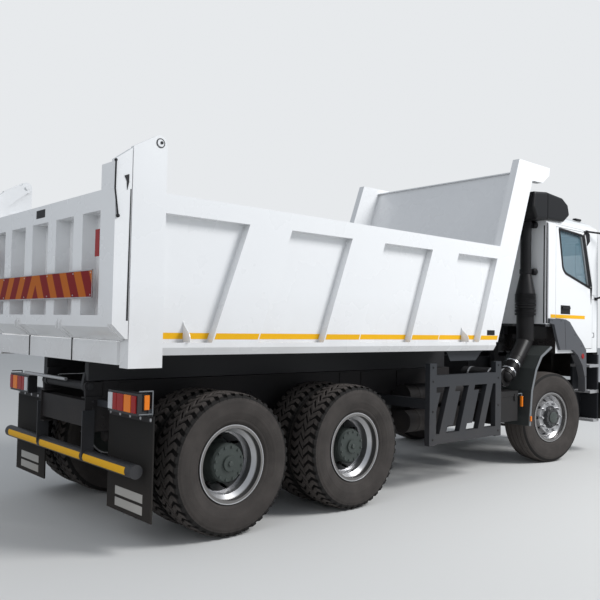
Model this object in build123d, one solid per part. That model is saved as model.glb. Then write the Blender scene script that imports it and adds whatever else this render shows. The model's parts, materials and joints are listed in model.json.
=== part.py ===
"""A three-axle forward-control tipper truck: chassis, tilting cab with two doors, tipping bed with a top-hung tailgate.

Millimetres. +X is forward, +Y is the truck's left, +Z is up. The origin is on the ground, under the middle of the length.
A right-hand piece lies at negative Y. Every station along the truck is worked out from the three axles.
"""

from build123d import *
import math
import os

RIGHT, LEFT = -1, 1
SIDES = {"right": RIGHT, "left": LEFT}
BOTH = (RIGHT, LEFT)

# Running gear
WHEELBASE = 3600
TANDEM = 1350
FRONT_OVERHANG = 1447
BED_OVERHANG = 925
TYRE_RADIUS = 548
TYRE_WIDTH = 312
TREAD_WIDTH = 268
BEAD_RADIUS = 285
FLANGE_RADIUS = 299
RIM_HALF = 127
FRONT_TRACK = 2036
REAR_TRACK = 1834
DUAL_SPACING = 350

# Tipping bed
BED_HALF = 1250
RECESS = 72
SHEET = 8
BED_RAIL_BOTTOM = 1385
FLOOR_TOP = 1480
TOP_RAIL_BOTTOM = 2390
TOP_RAIL_TOP = 2530
LEAN = 0.3663
RIB_WIDTH = 435
REAR_POST_LENGTH = 265
REAR_POST_DEPTH = 120
POST_BOTTOM = 1300
POST_TOP = 2600
FRONT_POST_LENGTH = 356
FRONT_POST_DEPTH = 86
EAR_TOP = 3567
HEADBOARD_TOP = 3490
TIP_PIVOT_AHEAD = 135
TIP_PIVOT_Z = 1110

# Tailgate
GATE_GAP = 7
GATE_DEPTH = 120
GATE_BOTTOM = 1490
GATE_PIVOT_AHEAD = 207
GATE_PIVOT_Z = 2875
BOARD_STANDOFF = 22
BOARD_THICKNESS = 4

# Cab
CAB_HALF = 1150
CAB_WALL = 45
CAB_GAP = 6
CAB_FLOOR = 1330
CAB_CORNER_SILL = 1660
DOOR_BOTTOM = 1385
DOOR_TOP = 2905
HINGE_SETBACK = 12
HINGE_LEAD = 45

# Frame
FRAME_HALF = 425
FRAME_TOP = 1030
RAIL_HEIGHT = 270
RAIL_FLANGE = 70
RAIL_WALL = 9
SUBFRAME_HEIGHT = 120
GAP = 6
FIT = 0.3

# Stations along the truck
GATE_REACH = GATE_GAP + GATE_DEPTH + BOARD_STANDOFF + BOARD_THICKNESS
LENGTH = GATE_REACH + BED_OVERHANG + TANDEM + WHEELBASE + FRONT_OVERHANG
REAR_X = -LENGTH / 2 + GATE_REACH + BED_OVERHANG
MID_X = REAR_X + TANDEM
FRONT_X = MID_X + WHEELBASE
NOSE_X = LENGTH / 2
BED_REAR = REAR_X - BED_OVERHANG
FRAME_REAR = REAR_X - 830
FRAME_FRONT = FRONT_X + 1150
RAIL_BOTTOM = FRAME_TOP - RAIL_HEIGHT
SUBFRAME_TOP = FRAME_TOP + SUBFRAME_HEIGHT
WEB_INNER = FRAME_HALF - RAIL_WALL
AXLE_Z = TYRE_RADIUS

PARTS = {}


def block(x0, x1, y0, y1, z0, z1):
    """A box between two corners, given in any order."""
    size = (abs(x1 - x0), abs(y1 - y0), abs(z1 - z0))
    return Pos((x0 + x1) / 2, (y0 + y1) / 2, (z0 + z1) / 2) * Box(*size)


def side_plate(points, y0, y1):
    """A plate across the truck whose outline is given in X and Z."""
    face = make_face(Polyline(*[(x, min(y0, y1), z) for x, z in points], close=True))
    return extrude(face, amount=abs(y1 - y0), dir=(0, 1, 0))


def cross_bar(points, x0, x1):
    """A bar along the truck whose section is given in Y and Z."""
    face = make_face(Polyline(*[(min(x0, x1), y, z) for y, z in points], close=True))
    return extrude(face, amount=abs(x1 - x0), dir=(1, 0, 0))


def flat_plate(points, z0, z1):
    """A flat plate whose outline is given in X and Y."""
    face = make_face(Polyline(*[(x, y, min(z0, z1)) for x, y in points], close=True))
    return extrude(face, amount=abs(z1 - z0), dir=(0, 0, 1))


def rod_y(x, z, radius, y0, y1):
    """A round rod along Y."""
    return Pos(x, (y0 + y1) / 2, z) * Rot(90, 0, 0) * Cylinder(radius, abs(y1 - y0))


def rod(start, end, radius):
    """A round rod between two points."""
    axis = Vector(*end) - Vector(*start)
    low = (Align.CENTER, Align.CENTER, Align.MIN)
    return Plane(origin=start, z_dir=axis) * Cylinder(radius, axis.length, align=low)


def turned(points):
    """A body of revolution about the Y axis. The outline is given as radius and Y."""
    face = make_face(Polyline(*[(r, a, 0) for r, a in points], close=True))
    return revolve(face, axis=Axis((0, 0, 0), (0, 1, 0)))


def on_side(shape, side):
    """A piece drawn for the left, or its mirror image for the right."""
    return shape if side == LEFT else mirror(shape, about=Plane.XZ)


def joined(shapes):
    """Shapes that touch or overlap, fused into one."""
    shapes = list(shapes)
    result = shapes[0]
    for shape in shapes[1:]:
        result = result + shape
    return result


def grouped(shapes):
    """Separate solids kept side by side in one node."""
    return Compound(children=[solid for shape in shapes for solid in shape.solids()])


# Wheels and tyres

def tyre():
    """One tyre about the Y axis."""
    half, tread = TYRE_WIDTH / 2, TREAD_WIDTH / 2
    shoulder, crown = TYRE_RADIUS - 10, TYRE_RADIUS
    bead, bead_half = BEAD_RADIUS + FIT, RIM_HALF - 14
    bulge = BEAD_RADIUS + 0.47 * (TYRE_RADIUS - BEAD_RADIUS)
    edge = (shoulder - 16, tread + 10)
    lip = FLANGE_RADIUS + 1
    rows = [
        Line((bead, -bead_half, 0), (bead, bead_half, 0)),
        Line((bead, bead_half, 0), (lip, bead_half, 0)),
        ThreePointArc((lip, bead_half, 0), (bulge, half, 0), (edge[0], edge[1], 0)),
        Line((edge[0], edge[1], 0), (shoulder, tread, 0)),
        ThreePointArc((shoulder, tread, 0), (crown, 0, 0), (shoulder, -tread, 0)),
        Line((shoulder, -tread, 0), (edge[0], -edge[1], 0)),
        ThreePointArc((edge[0], -edge[1], 0), (bulge, -half, 0), (lip, -bead_half, 0)),
        Line((lip, -bead_half, 0), (bead, -bead_half, 0)),
    ]
    return revolve(make_face(rows), axis=Axis((0, 0, 0), (0, 1, 0)))


DISC_BORE = 140.5
DISC_SHEET = 11
HAND_HOLES = 10
DUAL_DISH = 122
STEER_DISH = 66


def rim(face, way, dish):
    """A tubeless rim about Y. Its disc bolts up at Y = face and dishes away from way."""
    half, seat = RIM_HALF, BEAD_RADIUS
    wall, well = 10, 34
    hoop = turned([
        (FLANGE_RADIUS, -half), (FLANGE_RADIUS, -half + 12), (seat, -half + 12), (seat, -half + 45),
        (seat - well, -half + 75), (seat - well, half - 75), (seat, half - 45), (seat, half - 12),
        (FLANGE_RADIUS, half - 12), (FLANGE_RADIUS, half), (seat - wall, half), (seat - wall, half - 48),
        (seat - well - wall, half - 80), (seat - well - wall, -half + 80), (seat - wall, -half + 48),
        (seat - wall, -half),
    ])
    reach = seat - well - wall / 2
    back, step = face - way * dish, way * DISC_SHEET
    disc = turned([
        (DISC_BORE, face), (195, face), (232, back), (reach, back),
        (reach, back - step), (226, back - step), (189, face - step), (DISC_BORE, face - step),
    ])
    hole = rod_y(212, 0, 18, face + 2 * step, back - 2 * step)
    for n in range(HAND_HOLES):
        disc -= Rot(0, n * 360 / HAND_HOLES, 0) * hole
    return hoop + disc


def on_axle(shape, x, y, side):
    """Puts a wheel piece, drawn for the left, on its axle end."""
    return Pos(x, side * y, AXLE_Z) * on_side(shape, side)


SPINDLE = 45
REAR_HALF = REAR_TRACK / 2
FRONT_HALF = FRONT_TRACK / 2


def dual_wheel():
    """Two rims bolted back to back on a planetary hub. Y zero is midway between the tyres."""
    shift = DUAL_SPACING / 2
    outer = Pos(0, shift, 0) * rim(-shift + DISC_SHEET, -1, DUAL_DISH)
    inner = Pos(0, -shift, 0) * rim(shift, 1, DUAL_DISH)
    hub = turned([
        (SPINDLE + 1, -150), (205, -150), (205, -62), (196, -DISC_SHEET), (DISC_BORE, -DISC_SHEET),
        (DISC_BORE, DISC_SHEET), (190, DISC_SHEET), (190, 30), (168, 62), (152, 90), (150, 232), (138, 250), (62, 256),
        (58, 272), (0, 272), (0, 70), (SPINDLE + 1, 70),
    ])
    return outer + inner + hub


def steer_wheel():
    """A rim with its disc, hub and brake drum. Y zero is the tyre's middle."""
    face = 112
    hub = turned([
        (SPINDLE + 1, -20), (200, -20), (205, -8), (205, 62), (150, 72), (150, face - DISC_SHEET),
        (DISC_BORE, face - DISC_SHEET), (DISC_BORE, face), (120, face + 4), (112, face + 42), (0, face + 46),
        (0, 60), (SPINDLE + 1, 60),
    ])
    return rim(face, 1, STEER_DISH) + hub


TYRE = tyre()
DUAL = dual_wheel()
STEER_WHEEL = steer_wheel()

for axle, x in (("mid", MID_X), ("rear", REAR_X)):
    for name, side in SIDES.items():
        centres = (REAR_HALF - DUAL_SPACING / 2, REAR_HALF + DUAL_SPACING / 2)
        PARTS[f"{axle}_tyres_{name}"] = grouped(on_axle(TYRE, x, y, side) for y in centres)
        PARTS[f"{axle}_wheels_{name}"] = on_axle(DUAL, x, REAR_HALF, side)

# Steering, drawn straight ahead and then turned about the kingpins to the parked angle
KINGPIN_Y = 905
KINGPIN = 25
BOSS = 48
BOSS_HALF = 85
PARKED_ANGLE = -9.4
STEER_ARM = 175
FORK_PLATE = 30
FORK_INNER = BOSS_HALF + GAP
FORK_OUTER = FORK_INNER + FORK_PLATE
ARM_PLATE = 22
BALL = 14
TRACK_ROD_Z = AXLE_Z - FORK_OUTER - 26


def parked(shape, side):
    """Turns a piece of a steered wheel about its kingpin."""
    pivot = Pos(FRONT_X, side * KINGPIN_Y, 0)
    return pivot * Rot(0, 0, PARKED_ANGLE) * pivot.inverse() * shape


def knuckle():
    """Fork, kingpin, spindle and steering arm of the left front wheel."""
    x, y, z = FRONT_X, KINGPIN_Y, AXLE_Z
    back = y + BOSS + GAP
    low = z - FORK_OUTER
    pieces = [block(x - 55, x + 55, back, back + 30, low, z + FORK_OUTER)]
    for sign in BOTH:
        near, far = z + sign * FORK_INNER, z + sign * FORK_OUTER
        pieces += [block(x - 45, x + 45, y, back + 30, near, far), Pos(x, y, (near + far) / 2) * Cylinder(45, FORK_PLATE)]
    pieces += [
        Pos(x, y, z) * Cylinder(KINGPIN, 2 * FORK_OUTER),
        rod_y(x, z, SPINDLE, back + 30, FRONT_HALF + 50),
        flat_plate([(x - 20, y - 30), (x - 20, y + 30), (x - STEER_ARM, y + 24), (x - STEER_ARM, y - 24)], low, low + ARM_PLATE),
        Pos(x - STEER_ARM, y, low + ARM_PLATE / 2) * Cylinder(24, ARM_PLATE),
        Pos(x - STEER_ARM, y, low - 20) * Cylinder(BALL, 50),
    ]
    return joined(pieces)


KNUCKLE = knuckle()
for name, side in SIDES.items():
    PARTS[f"knuckle_{name}"] = parked(on_side(KNUCKLE, side), side)
    PARTS[f"front_tyre_{name}"] = parked(on_axle(TYRE, FRONT_X, FRONT_HALF, side), side)
    PARTS[f"front_wheel_{name}"] = parked(on_axle(STEER_WHEEL, FRONT_X, FRONT_HALF, side), side)


def track_rod():
    """The rod that joins the two steering arms."""
    angle = math.radians(PARKED_ANGLE)
    x, shift = FRONT_X - STEER_ARM * math.cos(angle), -STEER_ARM * math.sin(angle)
    ends = [side * KINGPIN_Y + shift for side in BOTH]
    eyes = [Pos(x, y, TRACK_ROD_Z) * Cylinder(26, 30) for y in ends]
    bar = joined([rod_y(x, TRACK_ROD_Z, 17, ends[0], ends[1])] + eyes)
    for y in ends:
        bar -= Pos(x, y, TRACK_ROD_Z) * Cylinder(BALL + FIT, 40)
    return bar


PARTS["track_rod"] = track_rod()


def front_axle():
    """A dropped beam with a boss for each kingpin."""
    y, z = KINGPIN_Y - 20, AXLE_Z
    beam = cross_bar([(-y, z - 55), (-560, z - 105), (560, z - 105), (y, z - 55),
                      (y, z + 50), (560, z - 5), (-560, z - 5), (-y, z + 50)], FRONT_X - 50, FRONT_X + 50)
    for side in BOTH:
        beam += Pos(FRONT_X, side * KINGPIN_Y, z) * Cylinder(BOSS, 2 * BOSS_HALF)
        beam -= Pos(FRONT_X, side * KINGPIN_Y, z) * Cylinder(KINGPIN + FIT, 2 * BOSS_HALF + 10)
    return beam


PARTS["front_axle"] = front_axle()


def leaf_spring(x, z, half_length, leaves, leaf, upward, y0, y1):
    """A stepped pack of leaves. upward is true when the shorter leaves lie on top."""
    points = []
    step = half_length / (leaves + 1)
    way = 1 if upward else -1
    for n in range(leaves):
        reach = half_length - n * step
        points += [(reach, z + way * n * leaf), (reach, z + way * (n + 1) * leaf)]
    outline = [(x + r, h) for r, h in points] + [(x - r, h) for r, h in reversed(points)]
    return side_plate(outline, y0, y1)


FRONT_SPRING = (360, 450)
front_springs = grouped(
    joined([
        leaf_spring(FRONT_X, AXLE_Z - 5, 780, 6, 18, True, side * FRONT_SPRING[0], side * FRONT_SPRING[1]),
        block(FRONT_X - 800, FRONT_X - 740, side * FRONT_SPRING[0], side * FRONT_SPRING[1], AXLE_Z - 30, RAIL_BOTTOM),
        block(FRONT_X + 740, FRONT_X + 800, side * FRONT_SPRING[0], side * FRONT_SPRING[1], AXLE_Z - 30, RAIL_BOTTOM),
    ]) for side in BOTH
)


def drive_axle(x):
    """A banjo housing with its differential bowl and spindles."""
    end = REAR_HALF - 150 - GAP
    pieces = [
        rod_y(x, AXLE_Z, 72, -end, end),
        rod_y(x, AXLE_Z, SPINDLE, -REAR_HALF - 60, REAR_HALF + 60),
        Pos(x, 0, AXLE_Z) * Rot(0, 90, 0) * Cylinder(185, 190),
        rod((x - 95, 0, AXLE_Z), (x - 190, 0, AXLE_Z), 120),
        rod((x + 95, 0, AXLE_Z), (x + 230, 0, AXLE_Z + 10), 85),
    ]
    for side in BOTH:
        pieces.append(block(x - 70, x + 70, side * 440, side * 530, AXLE_Z, AXLE_Z + 85))
    return joined(pieces)


PARTS["drive_axles"] = grouped(drive_axle(x) for x in (MID_X, REAR_X))

TANDEM_X = REAR_X + TANDEM / 2
tandem_springs = grouped(
    joined([
        leaf_spring(TANDEM_X, AXLE_Z + 85, TANDEM / 2 + 70, 7, 16, True, side * 440, side * 530),
        side_plate([(TANDEM_X - 190, RAIL_BOTTOM + 120), (TANDEM_X + 190, RAIL_BOTTOM + 120),
                    (TANDEM_X + 90, AXLE_Z - 60), (TANDEM_X - 90, AXLE_Z - 60)], side * FRAME_HALF, side * 440),
        rod_y(TANDEM_X, AXLE_Z + 20, 64, side * 430, side * 545),
    ]) for side in BOTH
)
PARTS["leaf_springs"] = grouped([front_springs, tandem_springs])

# Chassis

def channel(outer, flange, wall, z0, z1, x0, x1, side):
    """A channel along the truck with its back outwards."""
    section = [(outer, z0), (outer, z1), (outer - flange, z1), (outer - flange, z1 - wall), (outer - wall, z1 - wall),
               (outer - wall, z0 + wall), (outer - flange, z0 + wall), (outer - flange, z0)]
    return cross_bar([(side * y, z) for y, z in section], x0, x1)


PARTS["frame_rails"] = grouped(
    channel(FRAME_HALF, RAIL_FLANGE, RAIL_WALL, RAIL_BOTTOM, FRAME_TOP, FRAME_REAR, FRAME_FRONT, side) for side in BOTH
)

HOIST_X = REAR_X + 200
HOIST_Z = 860
HOIST_TUBE = 38
EYE_X = REAR_X + 1700
EYE_Z = 1240
EYE_PIN = 30

# Each row: station, width along the truck, lowest Z, highest Z
CROSSMEMBERS = [
    (FRAME_REAR + 60, 90, RAIL_BOTTOM + 40, FRAME_TOP - 30),
    (REAR_X + 20, 90, RAIL_BOTTOM + 130, FRAME_TOP - 30),
    (MID_X + 950, 90, RAIL_BOTTOM + 60, FRAME_TOP - 30),
    (FRONT_X - 1400, 90, RAIL_BOTTOM + 110, FRAME_TOP - 30),
    (FRAME_FRONT - 45, 90, RAIL_BOTTOM + 20, FRAME_TOP - 20),
]
PARTS["crossmembers"] = grouped(
    [block(x - width / 2, x + width / 2, -WEB_INNER, WEB_INNER, z0, z1) for x, width, z0, z1 in CROSSMEMBERS]
    + [rod_y(HOIST_X, HOIST_Z, HOIST_TUBE, -WEB_INNER, WEB_INNER)]
)

TIP_X = BED_REAR + TIP_PIVOT_AHEAD
TIP_EYE = 40
TIP_PIN = 28
BRACKET = (378, 410)
BED_EYE = (332, 372)


def subframe_side(side):
    """One channel on the frame rail with its tipping bracket."""
    bar = channel(FRAME_HALF, 64, 8, FRAME_TOP, SUBFRAME_TOP, TIP_X + 110, FRONT_X - 1150, side)
    y0, y1 = side * BRACKET[0], side * BRACKET[1]
    ear = side_plate([(TIP_X - 30, FRAME_TOP), (TIP_X + 200, FRAME_TOP), (TIP_X + 200, SUBFRAME_TOP - 8),
                      (TIP_X + 90, SUBFRAME_TOP - 8), (TIP_X, TIP_PIVOT_Z + TIP_EYE - 4), (TIP_X - 36, TIP_PIVOT_Z)], y0, y1)
    ear += rod_y(TIP_X, TIP_PIVOT_Z, TIP_EYE, y0, y1)
    ear -= rod_y(TIP_X, TIP_PIVOT_Z, TIP_PIN + FIT, y0 - 5 * side, y1 + 5 * side)
    return bar + ear


PARTS["subframe"] = grouped(subframe_side(side) for side in BOTH)

# Power train
ENGINE_X = (FRONT_X - 620, FRONT_X + 560)
GEARBOX_REAR = ENGINE_X[0] - 620
FLANGE_INNER = FRAME_HALF - RAIL_FLANGE
engine = joined([
    block(ENGINE_X[0], ENGINE_X[1], -330, 330, 680, 1260),
    block(GEARBOX_REAR, ENGINE_X[0], -230, 230, 640, 1000),
    block(FRONT_X - 300, FRONT_X - 200, -WEB_INNER, WEB_INNER, 900, 960),
])
radiator = block(FRONT_X + 620, FRONT_X + 720, -FLANGE_INNER, FLANGE_INNER, 640, 1290)
PARTS["engine_block"] = grouped([engine, radiator])
front_shaft = rod((GEARBOX_REAR + 10, 0, 800), (MID_X + 225, 0, AXLE_Z + 10), 55)
tandem_shaft = rod((MID_X - 185, 0, AXLE_Z), (REAR_X + 225, 0, AXLE_Z + 10), 48)
PARTS["propshafts"] = grouped([front_shaft - PARTS["drive_axles"] - engine, tandem_shaft - PARTS["drive_axles"]])

# Front end: bumper, lamps, steps and the cab's tilting brackets
CAB_PIVOT_X = NOSE_X - 97
CAB_PIVOT_Z = 930
BUMPER_TOP = 915
BUMPER_BOTTOM = 420


def bumper():
    """A steel bumper that wraps round both corners."""
    outer = [(NOSE_X, -900), (NOSE_X - 60, -1140), (NOSE_X - 180, -1235), (NOSE_X - 330, -1235), (NOSE_X - 330, 1235),
             (NOSE_X - 180, 1235), (NOSE_X - 60, 1140), (NOSE_X, 900)]
    inner = [(NOSE_X - 14, -893), (NOSE_X - 72, -1130), (NOSE_X - 186, -1221), (NOSE_X - 340, -1221), (NOSE_X - 340, 1221),
             (NOSE_X - 186, 1221), (NOSE_X - 72, 1130), (NOSE_X - 14, 893)]
    shell = flat_plate(outer, BUMPER_BOTTOM, BUMPER_TOP) - flat_plate(inner, BUMPER_BOTTOM - 5, BUMPER_TOP + 5)
    for side in BOTH:
        shell += block(FRAME_FRONT, NOSE_X - 12, side * 300, side * FRAME_HALF, RAIL_BOTTOM - 60, BUMPER_TOP - 60)
        shell -= block(NOSE_X - 30, NOSE_X + 5, side * 620, side * 880, 620, 780)
    return shell


PARTS["front_bumper"] = bumper()
headlamps = grouped(
    block(NOSE_X - 70, NOSE_X - 4, side * 620.0, side * 880.0, 620, 780) for side in BOTH
)
CAB_BRACKET = (330, 362)
cab_brackets = grouped(
    joined([
        side_plate([(FRAME_FRONT, FRAME_TOP - 140), (FRAME_FRONT, FRAME_TOP), (CAB_PIVOT_X, CAB_PIVOT_Z + 30),
                    (CAB_PIVOT_X, CAB_PIVOT_Z - 28)], side * CAB_BRACKET[0], side * CAB_BRACKET[1]),
        rod_y(CAB_PIVOT_X, CAB_PIVOT_Z, 30, side * CAB_BRACKET[0], side * CAB_BRACKET[1]),
        rod_y(CAB_PIVOT_X, CAB_PIVOT_Z, 14, side * CAB_BRACKET[0], side * 420),
    ]) for side in BOTH
)

# Each row: height of the tread, how far its rear edge is ahead of the front axle
STEPS = [(1170, 850), (830, 872), (450, 962)]
STEP_FRONT = NOSE_X - 335
PARTS["cab_steps"] = grouped(
    joined(
        [block(FRONT_X + back, STEP_FRONT, side * 960, side * 1190, z - 30, z) for z, back in STEPS]
        + [block(STEP_FRONT - 40, STEP_FRONT, side * 960, side * 1190, 420, 1300),
           block(FRONT_X + STEPS[0][1], STEP_FRONT, side * 930, side * 960, 420, 1300),
           block(FRONT_X + 900, FRONT_X + 980, side * FRAME_HALF, side * 930, 850, 950)]
    ) for side in BOTH
)

# Things carried outside the frame rails
GUARD_X = (MID_X + 1080, FRONT_X - 1244)
GUARD_FACE = 1200
GUARD_LEAN = 0.35
GUARD_SLATS = 3
GUARD_SLAT_SHARE = 1 / 3
GUARD_FILL_SHARE = 0.43
GUARD_GAP = 50
GUARD_FILL_FOOT, GUARD_FILL_HEAD = 70, 55
GUARD_FILL_DEPTH = (9, 3)
GUARD_FOOT, GUARD_HEAD = 440, 1260
GUARD_BARS = ((450, 550), (1020, 1140))
GUARD_POSTS = (108, 110)
GUARD_THICKNESS = 60


def side_guard(side):
    """Two bars, two end posts, slanted bars between them and thin plates that narrow the slots."""
    x0, x1 = GUARD_X
    y0, y1 = side * (GUARD_FACE - GUARD_THICKNESS), side * GUARD_FACE
    pieces = [block(x0, x1, y0, y1, low, high) for low, high in GUARD_BARS]
    pieces += [block(x0, x0 + GUARD_POSTS[0], y0, y1, GUARD_FOOT, GUARD_HEAD),
               block(x1 - GUARD_POSTS[1], x1, y0, y1, GUARD_FOOT, GUARD_HEAD)]
    foot_z, head_z = GUARD_BARS[0][1] - 10, GUARD_BARS[1][0] + 10
    shift = (head_z - foot_z) * GUARD_LEAN
    first = x0 + GUARD_POSTS[0] + GUARD_GAP
    last = x1 - GUARD_POSTS[1] - GUARD_GAP - shift
    pitch = (last - first) / (GUARD_SLATS - 1 + GUARD_SLAT_SHARE)
    slat = GUARD_SLAT_SHARE * pitch
    low, high = GUARD_BARS[0][1] + GUARD_FILL_FOOT, GUARD_BARS[1][0] - GUARD_FILL_HEAD
    room = block(x0 + 5, x1 - 5, y0, y1, low, high)
    for n in range(GUARD_SLATS):
        left, right = first + (n - 1) * pitch + slat - 5, first + (n - 1) * pitch + slat
        right += GUARD_FILL_SHARE * (pitch - slat)
        fill = side_plate([(left, foot_z), (right, foot_z), (right + shift, head_z), (left + shift, head_z)],
                          *(side * (GUARD_FACE - depth) for depth in GUARD_FILL_DEPTH))
        pieces.append(fill & room)
    for n in range(GUARD_SLATS):
        foot = first + n * pitch
        pieces.append(side_plate([(foot, foot_z), (foot + slat, foot_z), (foot + slat + shift, head_z),
                                  (foot + shift, head_z)], y0, y1))
    for x in (x0 + 20, x1 - 80):
        pieces.append(block(x, x + 60, side * FRAME_HALF, y0, 800, 900))
    return joined(pieces)


PARTS["side_guards"] = grouped(side_guard(side) for side in BOTH)
TANK_X = (GUARD_X[0] + 170, GUARD_X[1] - 146)
PARTS["fuel_tank"] = joined(
    [block(TANK_X[0], TANK_X[1], 470, 1110, 480, 1010)]
    + [block(x, x + 50, FRAME_HALF, 1110, 450, 480) for x in (TANK_X[0] + 150, TANK_X[1] - 200)]
    + [block(x, x + 50, FRAME_HALF, 470, 450, 1000) for x in (TANK_X[0] + 150, TANK_X[1] - 200)]
)
PARTS["air_tanks"] = joined(
    [rod((TANK_X[0], -700, z), (TANK_X[1], -700, z), 120) for z in (620, 890)]
    + [block(x, x + 50, -FRAME_HALF, -700, 600, 910) for x in (TANK_X[0] + 150, TANK_X[1] - 200)]
)
PARTS["battery_box"] = joined([
    block(FRONT_X - 1190, FRONT_X - 770, -470, -1120, 560, 900),
    block(FRONT_X - 1150, FRONT_X - 810, -FRAME_HALF, -470, 790, 890),
])


def mudguard(side):
    """The fixed rear half of a front wheel's guard, with its outer rim."""
    inner = [(-104, 869), (-346, 755), (-470, 600), (-572, 344), (-618, 47), (-622, -60)]
    skin = inner + [(x - 14, z + 6) for x, z in reversed(inner)]
    outline = [(FRONT_X + x, AXLE_Z + z) for x, z in skin]
    rim_in = [(-104, 852), (-340, 738), (-455, 590), (-548, 344), (-582, 47), (-588, -60)]
    lip = [(FRONT_X + x, AXLE_Z + z) for x, z in rim_in + [(x - 14, z + 6) for x, z in reversed(inner)]]
    shell = side_plate(outline, side * 720, side * 1150) + side_plate(lip, side * 1150, side * 1185)
    shell += block(FRONT_X - 636, FRONT_X - 560, side * FRAME_HALF, side * 730, 900, 960)
    return shell


PARTS["front_mudguards"] = grouped(mudguard(side) for side in BOTH)

# Tail end
UNDERRUN_X = REAR_X - 800
UNDERRUN_Z = 580
underrun = joined(
    [rod_y(UNDERRUN_X, UNDERRUN_Z, 50, -1180, 1180)]
    + [block(UNDERRUN_X - 55, UNDERRUN_X + 45, side * FRAME_HALF, side * (FRAME_HALF + 12), UNDERRUN_Z, 930) for side in BOTH]
)
FLAP_X = REAR_X - 700
PARTS["underrun_bar"] = grouped([underrun] + [
    block(FLAP_X - 30, FLAP_X + 10, side * FRAME_HALF, side * 1200, 960, 1010) for side in BOTH
])
PARTS["mud_flaps"] = grouped(block(FLAP_X - 12, FLAP_X, side * 590, side * 1240, 220, 960) for side in BOTH)
rear_lamps = [block(FLAP_X - 110, FLAP_X - 30, side * 760, side * 1190, 965, 1120) for side in BOTH]
PARTS["lamps"] = grouped([headlamps] + rear_lamps)

# Tipping bed
WALL_OUT = BED_HALF - RECESS
WALL_IN = WALL_OUT - SHEET
POST_FRONT = BED_REAR + REAR_POST_LENGTH
REAR_POST_IN = BED_HALF - REAR_POST_DEPTH
FRONT_POST_IN = BED_HALF - FRONT_POST_DEPTH
PANEL_EDGE_X = FRONT_X - 1421
HEAD_EDGE_X = PANEL_EDGE_X + FRONT_POST_LENGTH


def lean(x, z):
    """The X at height z of a leaning edge that passes x at the top rail's underside."""
    return x + LEAN * (z - TOP_RAIL_BOTTOM)


def leaning(x0, x1, z0, z1):
    """The outline of a band that leans forward like the ribs."""
    return [(lean(x0, z0), z0), (lean(x1, z0), z0), (lean(x1, z1), z1), (lean(x0, z1), z1)]


RIB_COUNT = 3
RIB_START = REAR_X + 94
RIB_PITCH = (PANEL_EDGE_X - RIB_START) / RIB_COUNT
RIB_EDGES = [RIB_START + n * RIB_PITCH for n in range(RIB_COUNT)]
WALL_FRONT = HEAD_EDGE_X - 20


def bed_side(side):
    """One wall: the sheet, the two rails and the leaning ribs."""
    rail = cross_bar([(side * y, z) for y, z in (
        (REAR_POST_IN, BED_RAIL_BOTTOM), (BED_HALF - 34, BED_RAIL_BOTTOM), (BED_HALF, 1440), (BED_HALF, FLOOR_TOP - 5),
        (WALL_IN, FLOOR_TOP - 5), (REAR_POST_IN, FLOOR_TOP - 5))], POST_FRONT, lean(HEAD_EDGE_X, BED_RAIL_BOTTOM))
    sheet = side_plate([(POST_FRONT, FLOOR_TOP - 5), (lean(PANEL_EDGE_X, FLOOR_TOP - 5), FLOOR_TOP - 5),
                        (lean(PANEL_EDGE_X, TOP_RAIL_TOP), TOP_RAIL_TOP), (POST_FRONT, TOP_RAIL_TOP)],
                       side * WALL_IN, side * WALL_OUT)
    top = side_plate([(POST_FRONT, TOP_RAIL_BOTTOM), (PANEL_EDGE_X, TOP_RAIL_BOTTOM),
                      (lean(PANEL_EDGE_X, TOP_RAIL_TOP), TOP_RAIL_TOP), (POST_FRONT, TOP_RAIL_TOP)],
                     side * WALL_OUT, side * BED_HALF)
    ribs = [side_plate(leaning(x, x + RIB_WIDTH, FLOOR_TOP - 5, TOP_RAIL_BOTTOM), side * WALL_OUT, side * BED_HALF)
            for x in RIB_EDGES]
    return joined([rail, sheet, top] + ribs)


for name, side in SIDES.items():
    PARTS[f"bed_side_{name}"] = bed_side(side)


def front_post(side):
    """The leaning post with the ear that carries the canopy."""
    x0, x1 = PANEL_EDGE_X, HEAD_EDGE_X
    foot = FLOOR_TOP - 5
    ear = [(lean(x0, foot), foot), (lean(x1, foot), foot), (FRONT_X - 708, 3358),
           (FRONT_X - 475, 3367), (FRONT_X - 322, 3476), (FRONT_X - 312, EAR_TOP), (lean(x0, EAR_TOP), EAR_TOP)]
    return side_plate(ear, side * FRONT_POST_IN, side * BED_HALF)


def headboard():
    """The leaning front wall between its posts, its top beam and the canopy."""
    x1 = HEAD_EDGE_X
    wall = side_plate(leaning(x1 - 10, x1, FLOOR_TOP, HEADBOARD_TOP), -FRONT_POST_IN, FRONT_POST_IN)
    beam = side_plate(leaning(x1, x1 + 70, HEADBOARD_TOP - 90, HEADBOARD_TOP), -FRONT_POST_IN, FRONT_POST_IN)
    canopy = block(lean(x1, HEADBOARD_TOP) - 40, FRONT_X - 350, -FRONT_POST_IN, FRONT_POST_IN, HEADBOARD_TOP, HEADBOARD_TOP + 12)
    return joined([wall, beam, canopy] + [front_post(side) for side in BOTH])


PARTS["headboard"] = headboard()

# Each row: rear station of a floor bearer after the bed's rear edge
BEARER_COUNT = 13
BEARER_WIDTH = 70
FLOOR_FRONT = lean(HEAD_EDGE_X, FLOOR_TOP) - 12
RUNNER = (FRAME_HALF - 64, FRAME_HALF)

# The hoist's pin slides in two slotted hangers. Each row: how far it moves forward and up, seen from the bed
EYE_DRIFT = [(0, 0), (43, -34), (78, -66), (88, -77)]
SLOT_PLAY = 6
HANGER = (78, 96)


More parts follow.
